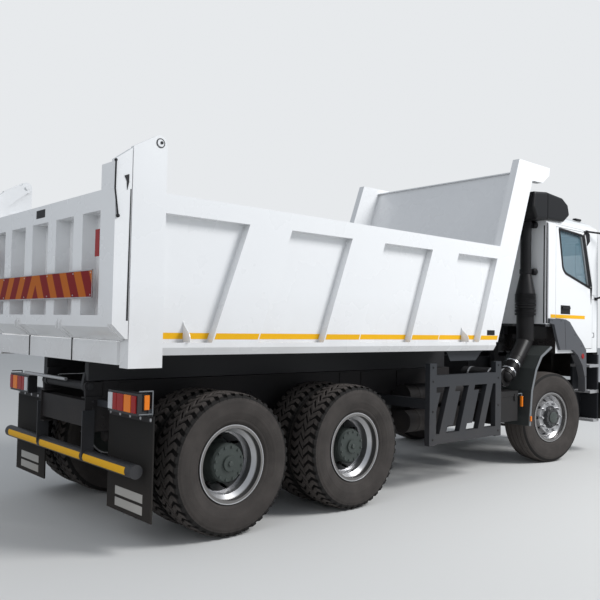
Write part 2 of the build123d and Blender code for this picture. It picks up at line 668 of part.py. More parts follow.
def slot_band():
    """The straight-sided middle of the slot that the hoist's pin slides in."""
    dx, dz = EYE_DRIFT[-1]
    reach = math.hypot(dx, dz)
    wide = EYE_PIN + SLOT_PLAY
    nx, nz = -dz / reach * wide, dx / reach * wide
    return [(EYE_X + nx, EYE_Z + nz), (EYE_X + dx + nx, EYE_Z + dz + nz),
            (EYE_X + dx - nx, EYE_Z + dz - nz), (EYE_X - nx, EYE_Z - nz)]


SLOT_BAND = slot_band()
HANGER_OUTLINE = [(EYE_X - 120, EYE_Z + 110), (EYE_X - 70, EYE_Z - 20), (EYE_X - 10, EYE_Z - 75), (EYE_X + 50, EYE_Z - 130),
                  (EYE_X + 120, EYE_Z - 145), (EYE_X + 160, EYE_Z - 100), (EYE_X + 190, EYE_Z + 110)]


def bed_floor():
    """Floor sheet, cross bearers, the two runners with the tipping eyes and the hangers for the hoist's pin."""
    sheet = block(BED_REAR + 95, FLOOR_FRONT, -REAR_POST_IN, REAR_POST_IN, FLOOR_TOP - 6, FLOOR_TOP)
    pitch = (FLOOR_FRONT - BED_REAR - 420) / (BEARER_COUNT - 1)
    bearers = [block(BED_REAR + 260 + n * pitch, BED_REAR + 260 + n * pitch + BEARER_WIDTH, -REAR_POST_IN, REAR_POST_IN,
                     BED_RAIL_BOTTOM, FLOOR_TOP - 6) for n in range(BEARER_COUNT)]
    bottom = SUBFRAME_TOP + GAP
    pieces = [sheet] + bearers
    for side in BOTH:
        pieces.append(block(TIP_X - 20, FRONT_X - 1250, side * RUNNER[0], side * RUNNER[1], bottom, BED_RAIL_BOTTOM))
        y0, y1 = side * BED_EYE[0], side * BED_EYE[1]
        pieces.append(side_plate([(TIP_X - 40, TIP_PIVOT_Z), (TIP_X + 40, TIP_PIVOT_Z), (TIP_X + 110, bottom + 60),
                                  (TIP_X - 20, bottom + 60)], y0, y1))
        pieces.append(rod_y(TIP_X, TIP_PIVOT_Z, TIP_EYE, y0, y1))
    shaft_end = BRACKET[1] + 8
    pieces.append(rod_y(TIP_X, TIP_PIVOT_Z, TIP_PIN, -shaft_end, shaft_end))
    slot = joined(rod_y(EYE_X + dx, EYE_Z + dz, EYE_PIN + SLOT_PLAY, -HANGER[1] - 5, HANGER[1] + 5) for dx, dz in EYE_DRIFT)
    slot += side_plate(SLOT_BAND, -HANGER[1] - 5, HANGER[1] + 5)
    for side in BOTH:
        hanger = side_plate(HANGER_OUTLINE, side * HANGER[0], side * HANGER[1])
        pieces.append(hanger - slot)
    pieces.append(block(EYE_X - 120, EYE_X + 190, -RUNNER[0], RUNNER[0], EYE_Z + 105, BED_RAIL_BOTTOM))
    return joined(pieces)


PARTS["bed_floor"] = bed_floor()

GATE_PIVOT_X = BED_REAR + GATE_PIVOT_AHEAD
GATE_PIN = 19
GATE_EYE = 50
ARM = (1186, 1204)
EAR_PLATE_IN = 1210
BOLSTER_PROUD = 20
LOCK_Y = 415


def rear_frame():
    """The two corner posts with their ears and pins, and the bolster below the floor's rear edge."""
    pieces = [block(BED_REAR - BOLSTER_PROUD, BED_REAR + 95, -REAR_POST_IN, REAR_POST_IN, 1320, FLOOR_TOP)]
    for side in BOTH:
        middle = side * LOCK_Y
        pieces[0] -= block(BED_REAR - BOLSTER_PROUD, BED_REAR - BOLSTER_PROUD + 12, middle - 6, middle + 6, 1320, FLOOR_TOP)
    for side in BOTH:
        pieces.append(block(BED_REAR, POST_FRONT, side * REAR_POST_IN, side * EAR_PLATE_IN, POST_BOTTOM, POST_TOP))
        pieces.append(side_plate([(BED_REAR, POST_BOTTOM), (POST_FRONT, POST_BOTTOM), (POST_FRONT, GATE_PIVOT_Z - 15),
                                  (GATE_PIVOT_X + 40, GATE_PIVOT_Z + 40), (GATE_PIVOT_X, GATE_PIVOT_Z + 57),
                                  (GATE_PIVOT_X - 30, GATE_PIVOT_Z + 48), (BED_REAR, GATE_PIVOT_Z - 55)],
                                 side * EAR_PLATE_IN, side * BED_HALF))
        pieces.append(rod_y(GATE_PIVOT_X, GATE_PIVOT_Z, GATE_PIN, side * (ARM[0] - 12), side * BED_HALF))
    return joined(pieces)


PARTS["rear_frame"] = rear_frame()

GATE_IN = BED_REAR - GATE_GAP
GATE_OUT = GATE_IN - GATE_DEPTH
GATE_HALF = 1190
GATE_RIBS = (-690, -230, 230, 690)
WING_TOP = (2715, 2805)


def tailgate():
    """Sheet, rails, ribs and the two wing plates that reach up to the hinge pins."""
    skin = GATE_IN - SHEET
    pieces = [
        block(skin, GATE_IN, -GATE_HALF, GATE_HALF, GATE_BOTTOM, 2525),
        block(GATE_OUT, skin, -GATE_HALF, GATE_HALF, 2385, 2525),
        side_plate([(skin, GATE_BOTTOM), (GATE_IN - 18, GATE_BOTTOM), (GATE_OUT, 1580), (GATE_OUT, 1660), (skin, 1660)],
                   -GATE_HALF, GATE_HALF),
    ]
    pieces += [block(GATE_OUT, skin, y - 75, y + 75, 1655, 2390) for y in GATE_RIBS]
    for side in BOTH:
        pieces.append(block(GATE_OUT, GATE_IN, side * 1040, side * GATE_HALF, 1655, 2700))
        wing = side_plate([(GATE_IN, 1500), (GATE_IN - 18, 1500), (GATE_OUT, 1600), (GATE_OUT, WING_TOP[0]),
                           (GATE_IN, WING_TOP[1])], side * ARM[0], side * BED_HALF)
        arm = side_plate([(GATE_OUT, 2600), (GATE_IN, 2600), (GATE_IN + 20, 2660), (GATE_PIVOT_X + 10, GATE_PIVOT_Z - 48),
                          (GATE_PIVOT_X, GATE_PIVOT_Z + 48), (GATE_IN, WING_TOP[1]), (GATE_OUT, WING_TOP[0])],
                         side * ARM[0], side * ARM[1])
        for y in (LOCK_Y - 34, LOCK_Y + 22):
            pieces.append(side_plate([(GATE_IN - 24, GATE_BOTTOM + 4), (GATE_OUT + 2, 1577), (GATE_OUT + 2, 1640),
                                      (GATE_OUT - 18, 1600), (GATE_OUT - 14, 1560)], side * y, side * (y + 12)))
        eye = rod_y(GATE_PIVOT_X, GATE_PIVOT_Z, GATE_EYE, side * ARM[0], side * ARM[1])
        bore = rod_y(GATE_PIVOT_X, GATE_PIVOT_Z, GATE_PIN + FIT, side * (ARM[0] - 5), side * (ARM[1] + 5))
        pieces.append(wing)
        pieces.append(arm + eye - bore)
    return joined(pieces)


PARTS["tailgate"] = tailgate()
BOARD_BACK = GATE_OUT - BOARD_STANDOFF
PARTS["marker_board"] = joined(
    [block(BOARD_BACK - BOARD_THICKNESS, BOARD_BACK, -1000, 1000, 1780, 1975)]
    + [block(BOARD_BACK, GATE_OUT, y - 20, y + 20, 1800, 1955) for y in GATE_RIBS]
)

# Underbody hoist
LIFT_ANGLE = math.atan2(EYE_Z - HOIST_Z, EYE_X - HOIST_X)
LIFT_LENGTH = math.hypot(EYE_Z - HOIST_Z, EYE_X - HOIST_X)
BARREL = 70
BARREL_BORE = 52
ROD = 48
BARREL_LENGTH = LIFT_LENGTH - 217
ROD_FOOT = 300


def along_lift(distance):
    """A point on the hoist's axis at a distance from its lower end."""
    return (HOIST_X + distance * math.cos(LIFT_ANGLE), 0, HOIST_Z + distance * math.sin(LIFT_ANGLE))


barrel = joined([rod(along_lift(30), along_lift(BARREL_LENGTH), BARREL), rod_y(HOIST_X, HOIST_Z, 66, -80, 80)])
barrel -= rod(along_lift(120), along_lift(BARREL_LENGTH + 5), BARREL_BORE)
barrel += rod(along_lift(BARREL_LENGTH - 60), along_lift(BARREL_LENGTH), BARREL_BORE + 2) - rod(
    along_lift(BARREL_LENGTH - 65), along_lift(BARREL_LENGTH + 5), ROD + FIT)
barrel -= rod_y(HOIST_X, HOIST_Z, HOIST_TUBE + FIT, -100, 100)
PARTS["hoist_barrel"] = barrel
PARTS["hoist_rod"] = joined([
    rod(along_lift(ROD_FOOT), along_lift(LIFT_LENGTH), ROD),
    rod_y(EYE_X, EYE_Z, 55, -60, 60),
    rod_y(EYE_X, EYE_Z, EYE_PIN, -HANGER[1] - 18, HANGER[1] + 18),
])

# Cab
CAB_REAR = FRONT_X - 200
CAB_FACE = NOSE_X - 12
SEAM_X = FRONT_X + 40
DOOR_EDGE = FRONT_X + 1000
DOOR_HINGE_X = DOOR_EDGE + HINGE_LEAD
DOOR_HINGE_Y = CAB_HALF - HINGE_SETBACK
INNER_HALF = CAB_HALF - CAB_WALL
SHOULDER_Z = 2200

# Each row of the cab's outlines: distance from its back, height
ROOF_LINE = [(0, 2985), (60, 3010), (480, 3088), (800, 3110), (1140, 3086), (1250, 3038), (1345, 2980)]
OUTER_PROFILE = [(CAB_REAR, CAB_CORNER_SILL)] + [(CAB_REAR + x, z) for x, z in ROOF_LINE] + [
    (CAB_FACE - 150, 2880), (CAB_FACE - 25, 1950), (CAB_FACE, 1880), (CAB_FACE, 1100), (CAB_FACE - 55, 970), (CAB_FACE - 100, 970),
    (CAB_FACE - 100, CAB_FLOOR), (SEAM_X - 6, CAB_FLOOR), (SEAM_X - 6, CAB_CORNER_SILL),
]
INNER_PROFILE = [(CAB_REAR + CAB_WALL, CAB_CORNER_SILL + CAB_WALL), (CAB_REAR + CAB_WALL, 2945)] + [
    (CAB_REAR + x - 8, z - CAB_WALL) for x, z in ROOF_LINE[2:]] + [
    (CAB_FACE - 200, 2845), (CAB_FACE - 75, 1940), (CAB_FACE - 100, 1380), (SEAM_X + 39, 1380),
    (SEAM_X + 39, CAB_CORNER_SILL + CAB_WALL),
]
# The rounded upper edges seen from the front. Each row: distance in from the side, height
ROOF_EDGE = [(0, 2940), (20, 2990), (70, 3040), (150, 3088), (290, 3130)]

# The wheel arch's upper edge. Each row: distance ahead of the front axle, height
ARCH_EDGE = [(231, 1754), (336, 1724), (497, 1589), (662, 1471), (775, 1364)]
ARCH_INNER = [(745, 1007), (674, 1168), (549, 1301), (427, 1368), (102, 1371), (25, 1510), (-53, 1686), (-164, 1703)]


def cab_plan(shrink, z0, z1):
    """The cab's outline from above, with chamfered front corners."""
    y, nose = CAB_HALF - shrink, CAB_FACE - shrink
    return flat_plate([(CAB_REAR - 5 + shrink, -y), (FRONT_X + 1130 - shrink / 2, -y), (nose - 80, -y + 90), (nose, -y + 260),
                       (nose, y - 260), (nose - 80, y - 90), (FRONT_X + 1130 - shrink / 2, y), (CAB_REAR - 5 + shrink, y)],
                      z0, z1)


def door_outline(grow):
    """The door's outline in X and Z, cut away over the wheel arch. grow widens it by the gap all round."""
    over_arch = [(FRONT_X + x + 0.7 * (8 - grow), z + 0.7 * (8 - grow)) for x, z in ARCH_EDGE[:-1]]
    return [(SEAM_X - grow, ARCH_EDGE[0][1] + 12 - grow)] + over_arch + [
            (FRONT_X + ARCH_EDGE[-1][0] + 8 - grow, DOOR_BOTTOM - grow), (DOOR_EDGE + grow + 2, DOOR_BOTTOM - grow),
            (DOOR_EDGE + grow + 2, SHOULDER_Z), (DOOR_EDGE - 230 + grow, DOOR_TOP + grow), (SEAM_X - grow, DOOR_TOP + grow)]


WINDOW = [(SEAM_X + 170, 2400), (SEAM_X + 235, 2340), (DOOR_EDGE - 75, 2186), (DOOR_EDGE - 275, 2860), (SEAM_X + 70, 2890)]
GLASS = 5


def scaled_outline(points, factor):
    """An outline shrunk or grown about its middle."""
    cx = sum(x for x, _ in points) / len(points)
    cz = sum(z for _, z in points) / len(points)
    return [(cx + (x - cx) * factor, cz + (z - cz) * factor) for x, z in points]


HINGE_ROWS = (1560, 2060)


def under_roof_edge(shape, wall):
    """Rounds off a shape's upper side edges, or those of the room inside a wall of that thickness."""
    half = CAB_HALF - wall
    right = [(d - half, z - 0.8 * wall) for d, z in ROOF_EDGE]
    left = [(-y, z) for y, z in reversed(right)]
    return shape & cross_bar([(-half, BUMPER_TOP)] + right + left + [(half, BUMPER_TOP)], CAB_REAR - 10, NOSE_X)


def cab_shell():
    """Floor, roof, walls and pillars in one shell with the door, window and windscreen openings."""
    outer = side_plate(OUTER_PROFILE, -CAB_HALF, CAB_HALF) & cab_plan(0, 900, 3200)
    inner = side_plate(INNER_PROFILE, -INNER_HALF, INNER_HALF) & cab_plan(CAB_WALL, 900, 3200)
    shell = under_roof_edge(outer, 0) - under_roof_edge(inner, CAB_WALL)
    screen = [(CAB_FACE - 300, 2800), (CAB_FACE + 20, 2800), (CAB_FACE + 20, 2000), (CAB_FACE - 300, 2000)]
    shell -= side_plate(screen, -960, 960)
    shell -= block(CAB_REAR - 10, CAB_REAR + 60, -420, 420, 2250, 2700)
    for side in BOTH:
        shell -= side_plate(door_outline(CAB_GAP), side * (INNER_HALF - 60), side * (CAB_HALF + 10))
        for z in HINGE_ROWS:
            shell -= block(DOOR_EDGE, DOOR_HINGE_X + 24, side * (CAB_HALF - 40), side * (CAB_HALF + 10), z - 32, z + 32)
            shell += Pos(DOOR_HINGE_X, side * DOOR_HINGE_Y, z) * Cylinder(6, 68)
        lug = [(CAB_FACE - 100, 1100), (CAB_FACE - 60, 1000), (CAB_PIVOT_X + 32, CAB_PIVOT_Z), (CAB_PIVOT_X - 32, CAB_PIVOT_Z),
               (CAB_FACE - 135, 1100)]
        ear = side_plate(lug, side * 370, side * 410) + rod_y(CAB_PIVOT_X, CAB_PIVOT_Z, 32, side * 370, side * 410)
        shell += ear + block(CAB_FACE - 140, CAB_FACE - 60, side * 370, side * 410, 1050, CAB_FLOOR + 20)
        shell -= rod_y(CAB_PIVOT_X, CAB_PIVOT_Z, 14 + FIT, side * 365, side * 430)
    return shell


PARTS["cab_shell"] = cab_shell()


def door(side):
    """One door, as thick as the cab's wall, with its window cut out and two hinge straps."""
    panel = side_plate(door_outline(0), side * INNER_HALF, side * CAB_HALF)
    panel -= side_plate(WINDOW, side * (INNER_HALF - 5), side * (CAB_HALF + 5))
    for z in HINGE_ROWS:
        strap = block(DOOR_EDGE - 60, DOOR_HINGE_X, side * (DOOR_HINGE_Y - 7), side * (DOOR_HINGE_Y + 7), z - 24, z + 24)
        strap += Pos(DOOR_HINGE_X, side * DOOR_HINGE_Y, z) * Cylinder(11.5, 48)
        panel += strap - Pos(DOOR_HINGE_X, side * DOOR_HINGE_Y, z) * Cylinder(6 + FIT, 60)
    return panel


for name, side in SIDES.items():
    PARTS[f"door_{name}"] = door(side)
    PARTS[f"door_glass_{name}"] = side_plate(scaled_outline(WINDOW, 0.9985), side * (CAB_HALF - 25 - GLASS), side * (CAB_HALF - 25))

windscreen = side_plate([(CAB_FACE - 169, 2799.5), (CAB_FACE - 163, 2799.5), (CAB_FACE - 55, 2000.5), (CAB_FACE - 61, 2000.5)],
                                 -959.5, 959.5)
PARTS["cab_glass"] = grouped([windscreen, block(CAB_REAR + 20, CAB_REAR + 20 + GLASS, -419.5, 419.5, 2250.5, 2699.5)])

DASH_HALF = 940
DASH_PROFILE = [(CAB_FACE - 320, 1950), (CAB_FACE - 60, 1930), (CAB_FACE - 60, 1600), (CAB_FACE - 270, 1700)]
PARTS["dashboard"] = side_plate(DASH_PROFILE, -DASH_HALF, DASH_HALF) - PARTS["cab_shell"]


def seat(y):
    """A seat: pedestal, cushion, backrest and head rest."""
    x = FRONT_X + 200
    return joined([
        block(x + 60, x + 420, y - 200, y + 200, 1380, 1640),
        block(x, x + 500, y - 260, y + 260, 1640, 1780),
        side_plate([(x, 1700), (x + 130, 1700), (x + 20, 2400), (x - 80, 2400)], y - 250, y + 250),
        side_plate([(x - 70, 2400), (x + 10, 2400), (x, 2600), (x - 70, 2600)], y - 140, y + 140),
    ])


PARTS["seats"] = grouped(seat(side * 620) for side in BOTH)

WHEEL_CENTRE = (CAB_FACE - 470, 620, 2050)


def steering_wheel():
    """Column, spokes and rim of the steering wheel, tilted back to the driver."""
    place = Pos(*WHEEL_CENTRE) * Rot(0, -35, 0)
    ring = place * Torus(220, 17)
    spokes = place * (Box(430, 40, 14) + Box(40, 430, 14) + Cylinder(60, 40))
    column = rod(WHEEL_CENTRE, (CAB_FACE - 280, 620, 1800), 32)
    return ring + spokes + (column - PARTS["dashboard"])


PARTS["steering_wheel"] = steering_wheel()

ARCH_FACE = CAB_HALF + 35
ARCH_LIP = CAB_HALF - 60

GRILLE_BARS = 7
PARTS["grille"] = grouped(
    block(CAB_FACE, CAB_FACE + 8, -780, 780, 1140 + n * 95, 1140 + n * 95 + 62) for n in range(GRILLE_BARS)
)


def cab_arch(side):
    """The flare round the front wheel's opening, which rides on the cab, and its front lip."""
    foot = 824
    rear = [(ARCH_INNER[-1][0] + 18, ARCH_EDGE[0][1] + 6)]
    front = [(782, 1166), (785, foot), (750, foot)]
    outline = [(FRONT_X + x, z) for x, z in rear + ARCH_EDGE + front + ARCH_INNER]
    flare = side_plate(outline, side * CAB_HALF, side * ARCH_FACE)
    lip = [(FRONT_X + x, z) for x, z in front + ARCH_INNER[:3] + [(560, CAB_FLOOR), (775, CAB_FLOOR)]]
    return flare + side_plate(lip, side * ARCH_LIP, side * CAB_HALF)


PARTS["cab_arches"] = grouped(cab_arch(side) for side in BOTH)


MIRROR_X = FRONT_X + 1180
MIRROR_SIZE = (70, 190, 640)
MIRROR_Y = 1345
MIRROR_Z = 2500
# Each row: where an arm stands ahead of the front axle, its height, and its height at the mirror
MIRROR_ARMS = [(830, 2925, 2900), (1095, 2050, 2110)]


def mirror_set(side):
    """Two arms from the front pillar with a tall mirror head between them."""
    depth, width, height = MIRROR_SIZE
    head = Pos(MIRROR_X + depth / 2, side * MIRROR_Y, MIRROR_Z) * Box(depth, width, height)
    head = fillet(head.edges().filter_by(Axis.Z), 22)
    post_x = MIRROR_X + depth / 2
    pieces = [head, rod((post_x, side * MIRROR_Y, MIRROR_ARMS[1][2] - 10),
                        (post_x, side * MIRROR_Y, MIRROR_ARMS[0][2] + 12), 12)]
    for ahead, z, mirror_z in MIRROR_ARMS:
        x = FRONT_X + ahead
        arm = rod((x, side * (CAB_HALF + 9), z), (post_x, side * MIRROR_Y, mirror_z), 13)
        foot = block(x - 28, x + 28, side * CAB_HALF, side * (CAB_HALF + 18), z - 26, z + 14)
        pieces += [arm - block(x - 60, x + 60, side * 1000, side * CAB_HALF, z - 60, z + 60), foot]
    return joined(pieces)


PARTS["mirrors"] = grouped(mirror_set(side) for side in BOTH)

DUCT_SPLIT = 1900
DUCT_X, DUCT_Y = FRONT_X - 330, -950
DUCT_RADIUS = 65
HORN_Y = (-790, -1185)
HORN_ROUNDING = 32
HORN_GROOVE_X = FRONT_X - 232
# Each row: distance ahead of the front axle, height
HORN = [(-480, 2945), (-250, 2960), (184, 2980), (320, 3074), (278, 3206), (140, 3276), (-235, 3301), (-535, 3270), (-565, 3080)]
# Each row: lowest and highest Z, radius
UPPER_BELLOWS = [(DUCT_SPLIT + GAP, 1930, 124), (1930, 1952, 112), (1952, 1978, 124), (1978, 2060, 118)]
LOWER_BELLOWS = [(1480, 1792, 104), (1792, 1812, 122), (1812, 1834, 110), (1834, 1856, 124), (1856, 1878, 110),
                 (1878, DUCT_SPLIT, 124)]


def stack(rows):
    """Round collars standing on the duct's axis."""
    return joined(Pos(DUCT_X, DUCT_Y, (low + high) / 2) * Cylinder(radius, high - low) for low, high, radius in rows)


def duct_upper():
    """The air intake's horn over the cab's rear right corner and its upper pipe behind the cab."""
    horn = side_plate([(FRONT_X + x, z) for x, z in HORN], *HORN_Y)
    horn = fillet(horn.edges(), HORN_ROUNDING)
    band = block(HORN_GROOVE_X - 6, HORN_GROOVE_X + 6, HORN_Y[0] + 10, HORN_Y[1] - 10, 2900, 3350)
    horn -= band - side_plate([(FRONT_X + x, z + (12 if z < 3000 else -12)) for x, z in HORN], HORN_Y[0] - 12, HORN_Y[1] + 12)
    over_roof = [(CAB_REAR + x - GAP, z + GAP) for x, z in ROOF_LINE[:4]] + [(CAB_REAR + 900, 2900), (CAB_REAR - GAP, 2900)]
    horn -= side_plate(over_roof, 0, -CAB_HALF - GAP)
    taper = Pos(DUCT_X, DUCT_Y, 2180) * Cone(UPPER_BELLOWS[-1][2], DUCT_RADIUS, 240)
    pipe = Pos(DUCT_X, DUCT_Y, 2640) * Cylinder(DUCT_RADIUS, 680)
    stays = [block(DUCT_X + 30, CAB_REAR, DUCT_Y - 30, DUCT_Y + 30, z - 30, z + 30) for z in (2330, 2910)]
    return joined([stack(UPPER_BELLOWS), taper, pipe, horn] + stays)


PARTS["intake_upper"] = duct_upper()
# Each row: a point on the lower duct's bent run, its radius from there
ELBOWS = [((DUCT_X, DUCT_Y, 1480), 92), ((FRONT_X - 560, -970, 1260), 90), ((FRONT_X - 800, -985, 1070), 82)]
elbow_run = [Pos(*point) * Sphere(radius) for point, radius in ELBOWS]
elbow_run += [rod(start, end, radius) for (start, radius), (end, _) in zip(ELBOWS, ELBOWS[1:])]
filter_can = rod_y(FRONT_X - 820, 1050, 105, -FRAME_HALF, -1000)
PARTS["intake_lower"] = joined([stack(LOWER_BELLOWS)] + elbow_run + [filter_can])
cab_support = joined([
    block(CAB_REAR + 20, CAB_REAR + 110, -560, 560, CAB_CORNER_SILL - 110, CAB_CORNER_SILL - GAP),
    block(CAB_REAR + 20, CAB_REAR + 110, -FRAME_HALF, -FRAME_HALF + RAIL_FLANGE, FRAME_TOP, CAB_CORNER_SILL - 60),
    block(CAB_REAR + 20, CAB_REAR + 110, FRAME_HALF - RAIL_FLANGE, FRAME_HALF, FRAME_TOP, CAB_CORNER_SILL - 60),
])
PARTS["cab_mounts"] = grouped([cab_brackets, cab_support])

os.makedirs("parts", exist_ok=True)
for name, shape in PARTS.items():
    export_step(shape, f"parts/{name}.step")
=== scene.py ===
"""Looks for a three-axle tipper truck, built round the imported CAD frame. Lengths are metres in the frame's own axes."""

import cmath
import json
import math

import bmesh
import bpy
from mathutils import Matrix, Vector


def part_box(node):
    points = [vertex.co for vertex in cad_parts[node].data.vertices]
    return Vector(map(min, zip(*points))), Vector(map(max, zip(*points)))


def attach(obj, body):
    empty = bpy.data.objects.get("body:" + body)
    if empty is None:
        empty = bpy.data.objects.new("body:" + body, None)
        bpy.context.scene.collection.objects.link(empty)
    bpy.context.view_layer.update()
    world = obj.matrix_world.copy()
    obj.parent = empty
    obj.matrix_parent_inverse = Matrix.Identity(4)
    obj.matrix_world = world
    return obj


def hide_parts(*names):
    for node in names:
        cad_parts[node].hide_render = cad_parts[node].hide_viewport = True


bl_info = {
    "name": "Tipper Truck Dresser",
    "version": (1, 0, 0),
    "blender": (4, 5, 0),
    "location": "View3D > Sidebar > Tipper",
    "description": "Adds paint, tyres, bolts, tape, seats and trim to a three-axle tipper truck",
    "category": "Object",
}

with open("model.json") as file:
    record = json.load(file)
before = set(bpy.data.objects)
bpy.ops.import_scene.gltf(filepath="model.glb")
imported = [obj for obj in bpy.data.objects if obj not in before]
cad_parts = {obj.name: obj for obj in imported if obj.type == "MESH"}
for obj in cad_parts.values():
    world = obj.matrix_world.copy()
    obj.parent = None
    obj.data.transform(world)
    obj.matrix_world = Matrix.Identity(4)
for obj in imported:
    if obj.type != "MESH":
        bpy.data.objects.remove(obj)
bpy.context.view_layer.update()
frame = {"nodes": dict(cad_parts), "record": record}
NODES = frame["nodes"]
RIGHT, LEFT = -1, 1
SIDES = (("right", RIGHT), ("left", LEFT))


def middle(node):
    """The middle of a CAD node's box."""
    low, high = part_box(node)
    return (low + high) / 2


REAR_AXLE, AXLE_HEIGHT = middle("rear_tyres_right").x, middle("rear_tyres_right").z
MID_AXLE = middle("mid_tyres_right").x
FRONT_AXLE = middle("front_axle").x
STEER_REST = math.radians(-9.4)
KINGPIN_Y = 0.905
TYRE_RADIUS = 0.548
DUAL_CENTRES = (0.742, 1.092)
FRONT_CENTRE = 1.018

# Faces that trim seats on: distances to the side, and stations of the faces across the truck
BED_HALF, PANEL_Y = 1.25, 1.178
FRAME_SIDE = 0.4252
CAB_SIDE, DOOR_SIDE, ARCH_SIDE = 1.1495, 1.1498, 1.1848
BUMPER_FACE = 6.396
BOARD_FACE = -1.078
LEAN = 0.3663
AHEAD, BACK, OUT, UP, DOWN = (1, 0, 0), (-1, 0, 0), (0, 1, 0), (0, 0, 1), (0, 0, -1)


# Shader formulas

class Signal:
    """A shader value. Formulas on signals add the Math nodes that work them out."""

    def __init__(self, paint, socket):
        self.paint, self.socket = paint, socket

    def math(self, operation, *others, clamp=False):
        node = self.paint.node("ShaderNodeMath", {"operation": operation, "use_clamp": clamp}, self, *others)
        return Signal(self.paint, node.outputs[0])

    def __add__(self, other):
        return self.math("ADD", other)

    def __sub__(self, other):
        return self.math("SUBTRACT", other)

    def __mul__(self, other):
        return self.math("MULTIPLY", other)

    def __truediv__(self, other):
        return self.math("DIVIDE", other)

    def __rsub__(self, other):
        return self * -1.0 + other

    def above(self, edge):
        return self.math("GREATER_THAN", edge)

    def below(self, edge):
        return self.math("LESS_THAN", edge)

    def larger(self, other):
        return self.math("MAXIMUM", other)

    def ramp(self, low, high):
        """0 under low, 1 over high, straight between."""
        return ((self - low) * (1.0 / (high - low))).math("MULTIPLY", 1.0, clamp=True)

    def band(self, low, high):
        return self.above(low) * self.below(high)

    def size(self):
        return self.math("ABSOLUTE")


class Paint:
    """A procedural material on a Principled shader."""

    def __init__(self, name, colour, rough, **fixed):
        self.material = bpy.data.materials.new(name)
        self.material.use_nodes = True
        self.tree = self.material.node_tree
        self.shader = self.tree.nodes["Principled BSDF"]
        self.colour = (*colour, 1.0)
        for socket, value in {"Base_Color": self.colour, "Roughness": rough, **fixed}.items():
            self.shader.inputs[socket.replace("_", " ")].default_value = value
        self.place = Signal(self, self.node("ShaderNodeTexCoord").outputs["Object"])
        axes = self.node("ShaderNodeSeparateXYZ", None, self.place)
        self.x, self.y, self.z = (Signal(self, out) for out in axes.outputs)

    def node(self, kind, settings=None, *inputs, **named):
        made = self.tree.nodes.new(kind)
        for key, value in (settings or {}).items():
            setattr(made, key, value)
        for key, value in [*enumerate(inputs), *named.items()]:
            if isinstance(value, Signal):
                self.tree.links.new(value.socket, made.inputs[key])
            else:
                made.inputs[key].default_value = value
        return made

    def noise(self, scale, detail=3.0, stretch=None):
        place = self.place
        if stretch:
            made = self.node("ShaderNodeVectorMath", {"operation": "MULTIPLY"}, place, stretch)
            place = Signal(self, made.outputs[0])
        return Signal(self, self.node("ShaderNodeTexNoise", None, Vector=place, Scale=scale, Detail=detail).outputs[0])

    def flutes(self, scale):
        """Fine upright flutes, as moulded in a lens."""
        made = self.node("ShaderNodeTexWave", {"bands_direction": "X"}, Vector=self.place, Scale=scale)
        return Signal(self, made.outputs[1])

    def mix(self, factor, first, second):
        """A colour between two colours, each a triple or a signal."""
        made = self.node("ShaderNodeMix", {"data_type": "RGBA"}, factor)
        for slot, value in ((6, first), (7, second)):
            if isinstance(value, Signal):
                self.tree.links.new(value.socket, made.inputs[slot])
            else:
                made.inputs[slot].default_value = (*value[:3], 1.0)
        return Signal(self, made.outputs[2])

    def feed(self, socket, signal):
        self.tree.links.new(signal.socket, self.shader.inputs[socket])

    def bump(self, height, depth, strength=1.0):
        made = self.node("ShaderNodeBump", None, Height=height, Distance=depth, Strength=strength)
        self.tree.links.new(made.outputs[0], self.shader.inputs["Normal"])


DUST = (0.26, 0.19, 0.14)


def dusty(paint, amount, low, high, colour=None):
    """Lays road dust on a paint, thickest at height low and gone at height high."""
    patch = paint.noise(3.0, 5.0).ramp(0.35, 0.75)
    share = (1.0 - paint.z.ramp(low, high)) * (patch * 0.6 + 0.4) * amount
    paint.feed("Base Color", paint.mix(share, colour or paint.colour, DUST))


# Meshes

def turns(steps):
    return [2 * math.pi * n / steps for n in range(steps)]


def aimed(point, axis):
    """The matrix of a place whose local Y looks along an axis."""
    return Matrix.Translation(point) @ axis.to_track_quat("Y", "Z").to_matrix().to_4x4()


def new_object(name, data):
    made = bpy.data.objects.new(name, data)
    bpy.context.scene.collection.objects.link(made)
    return made


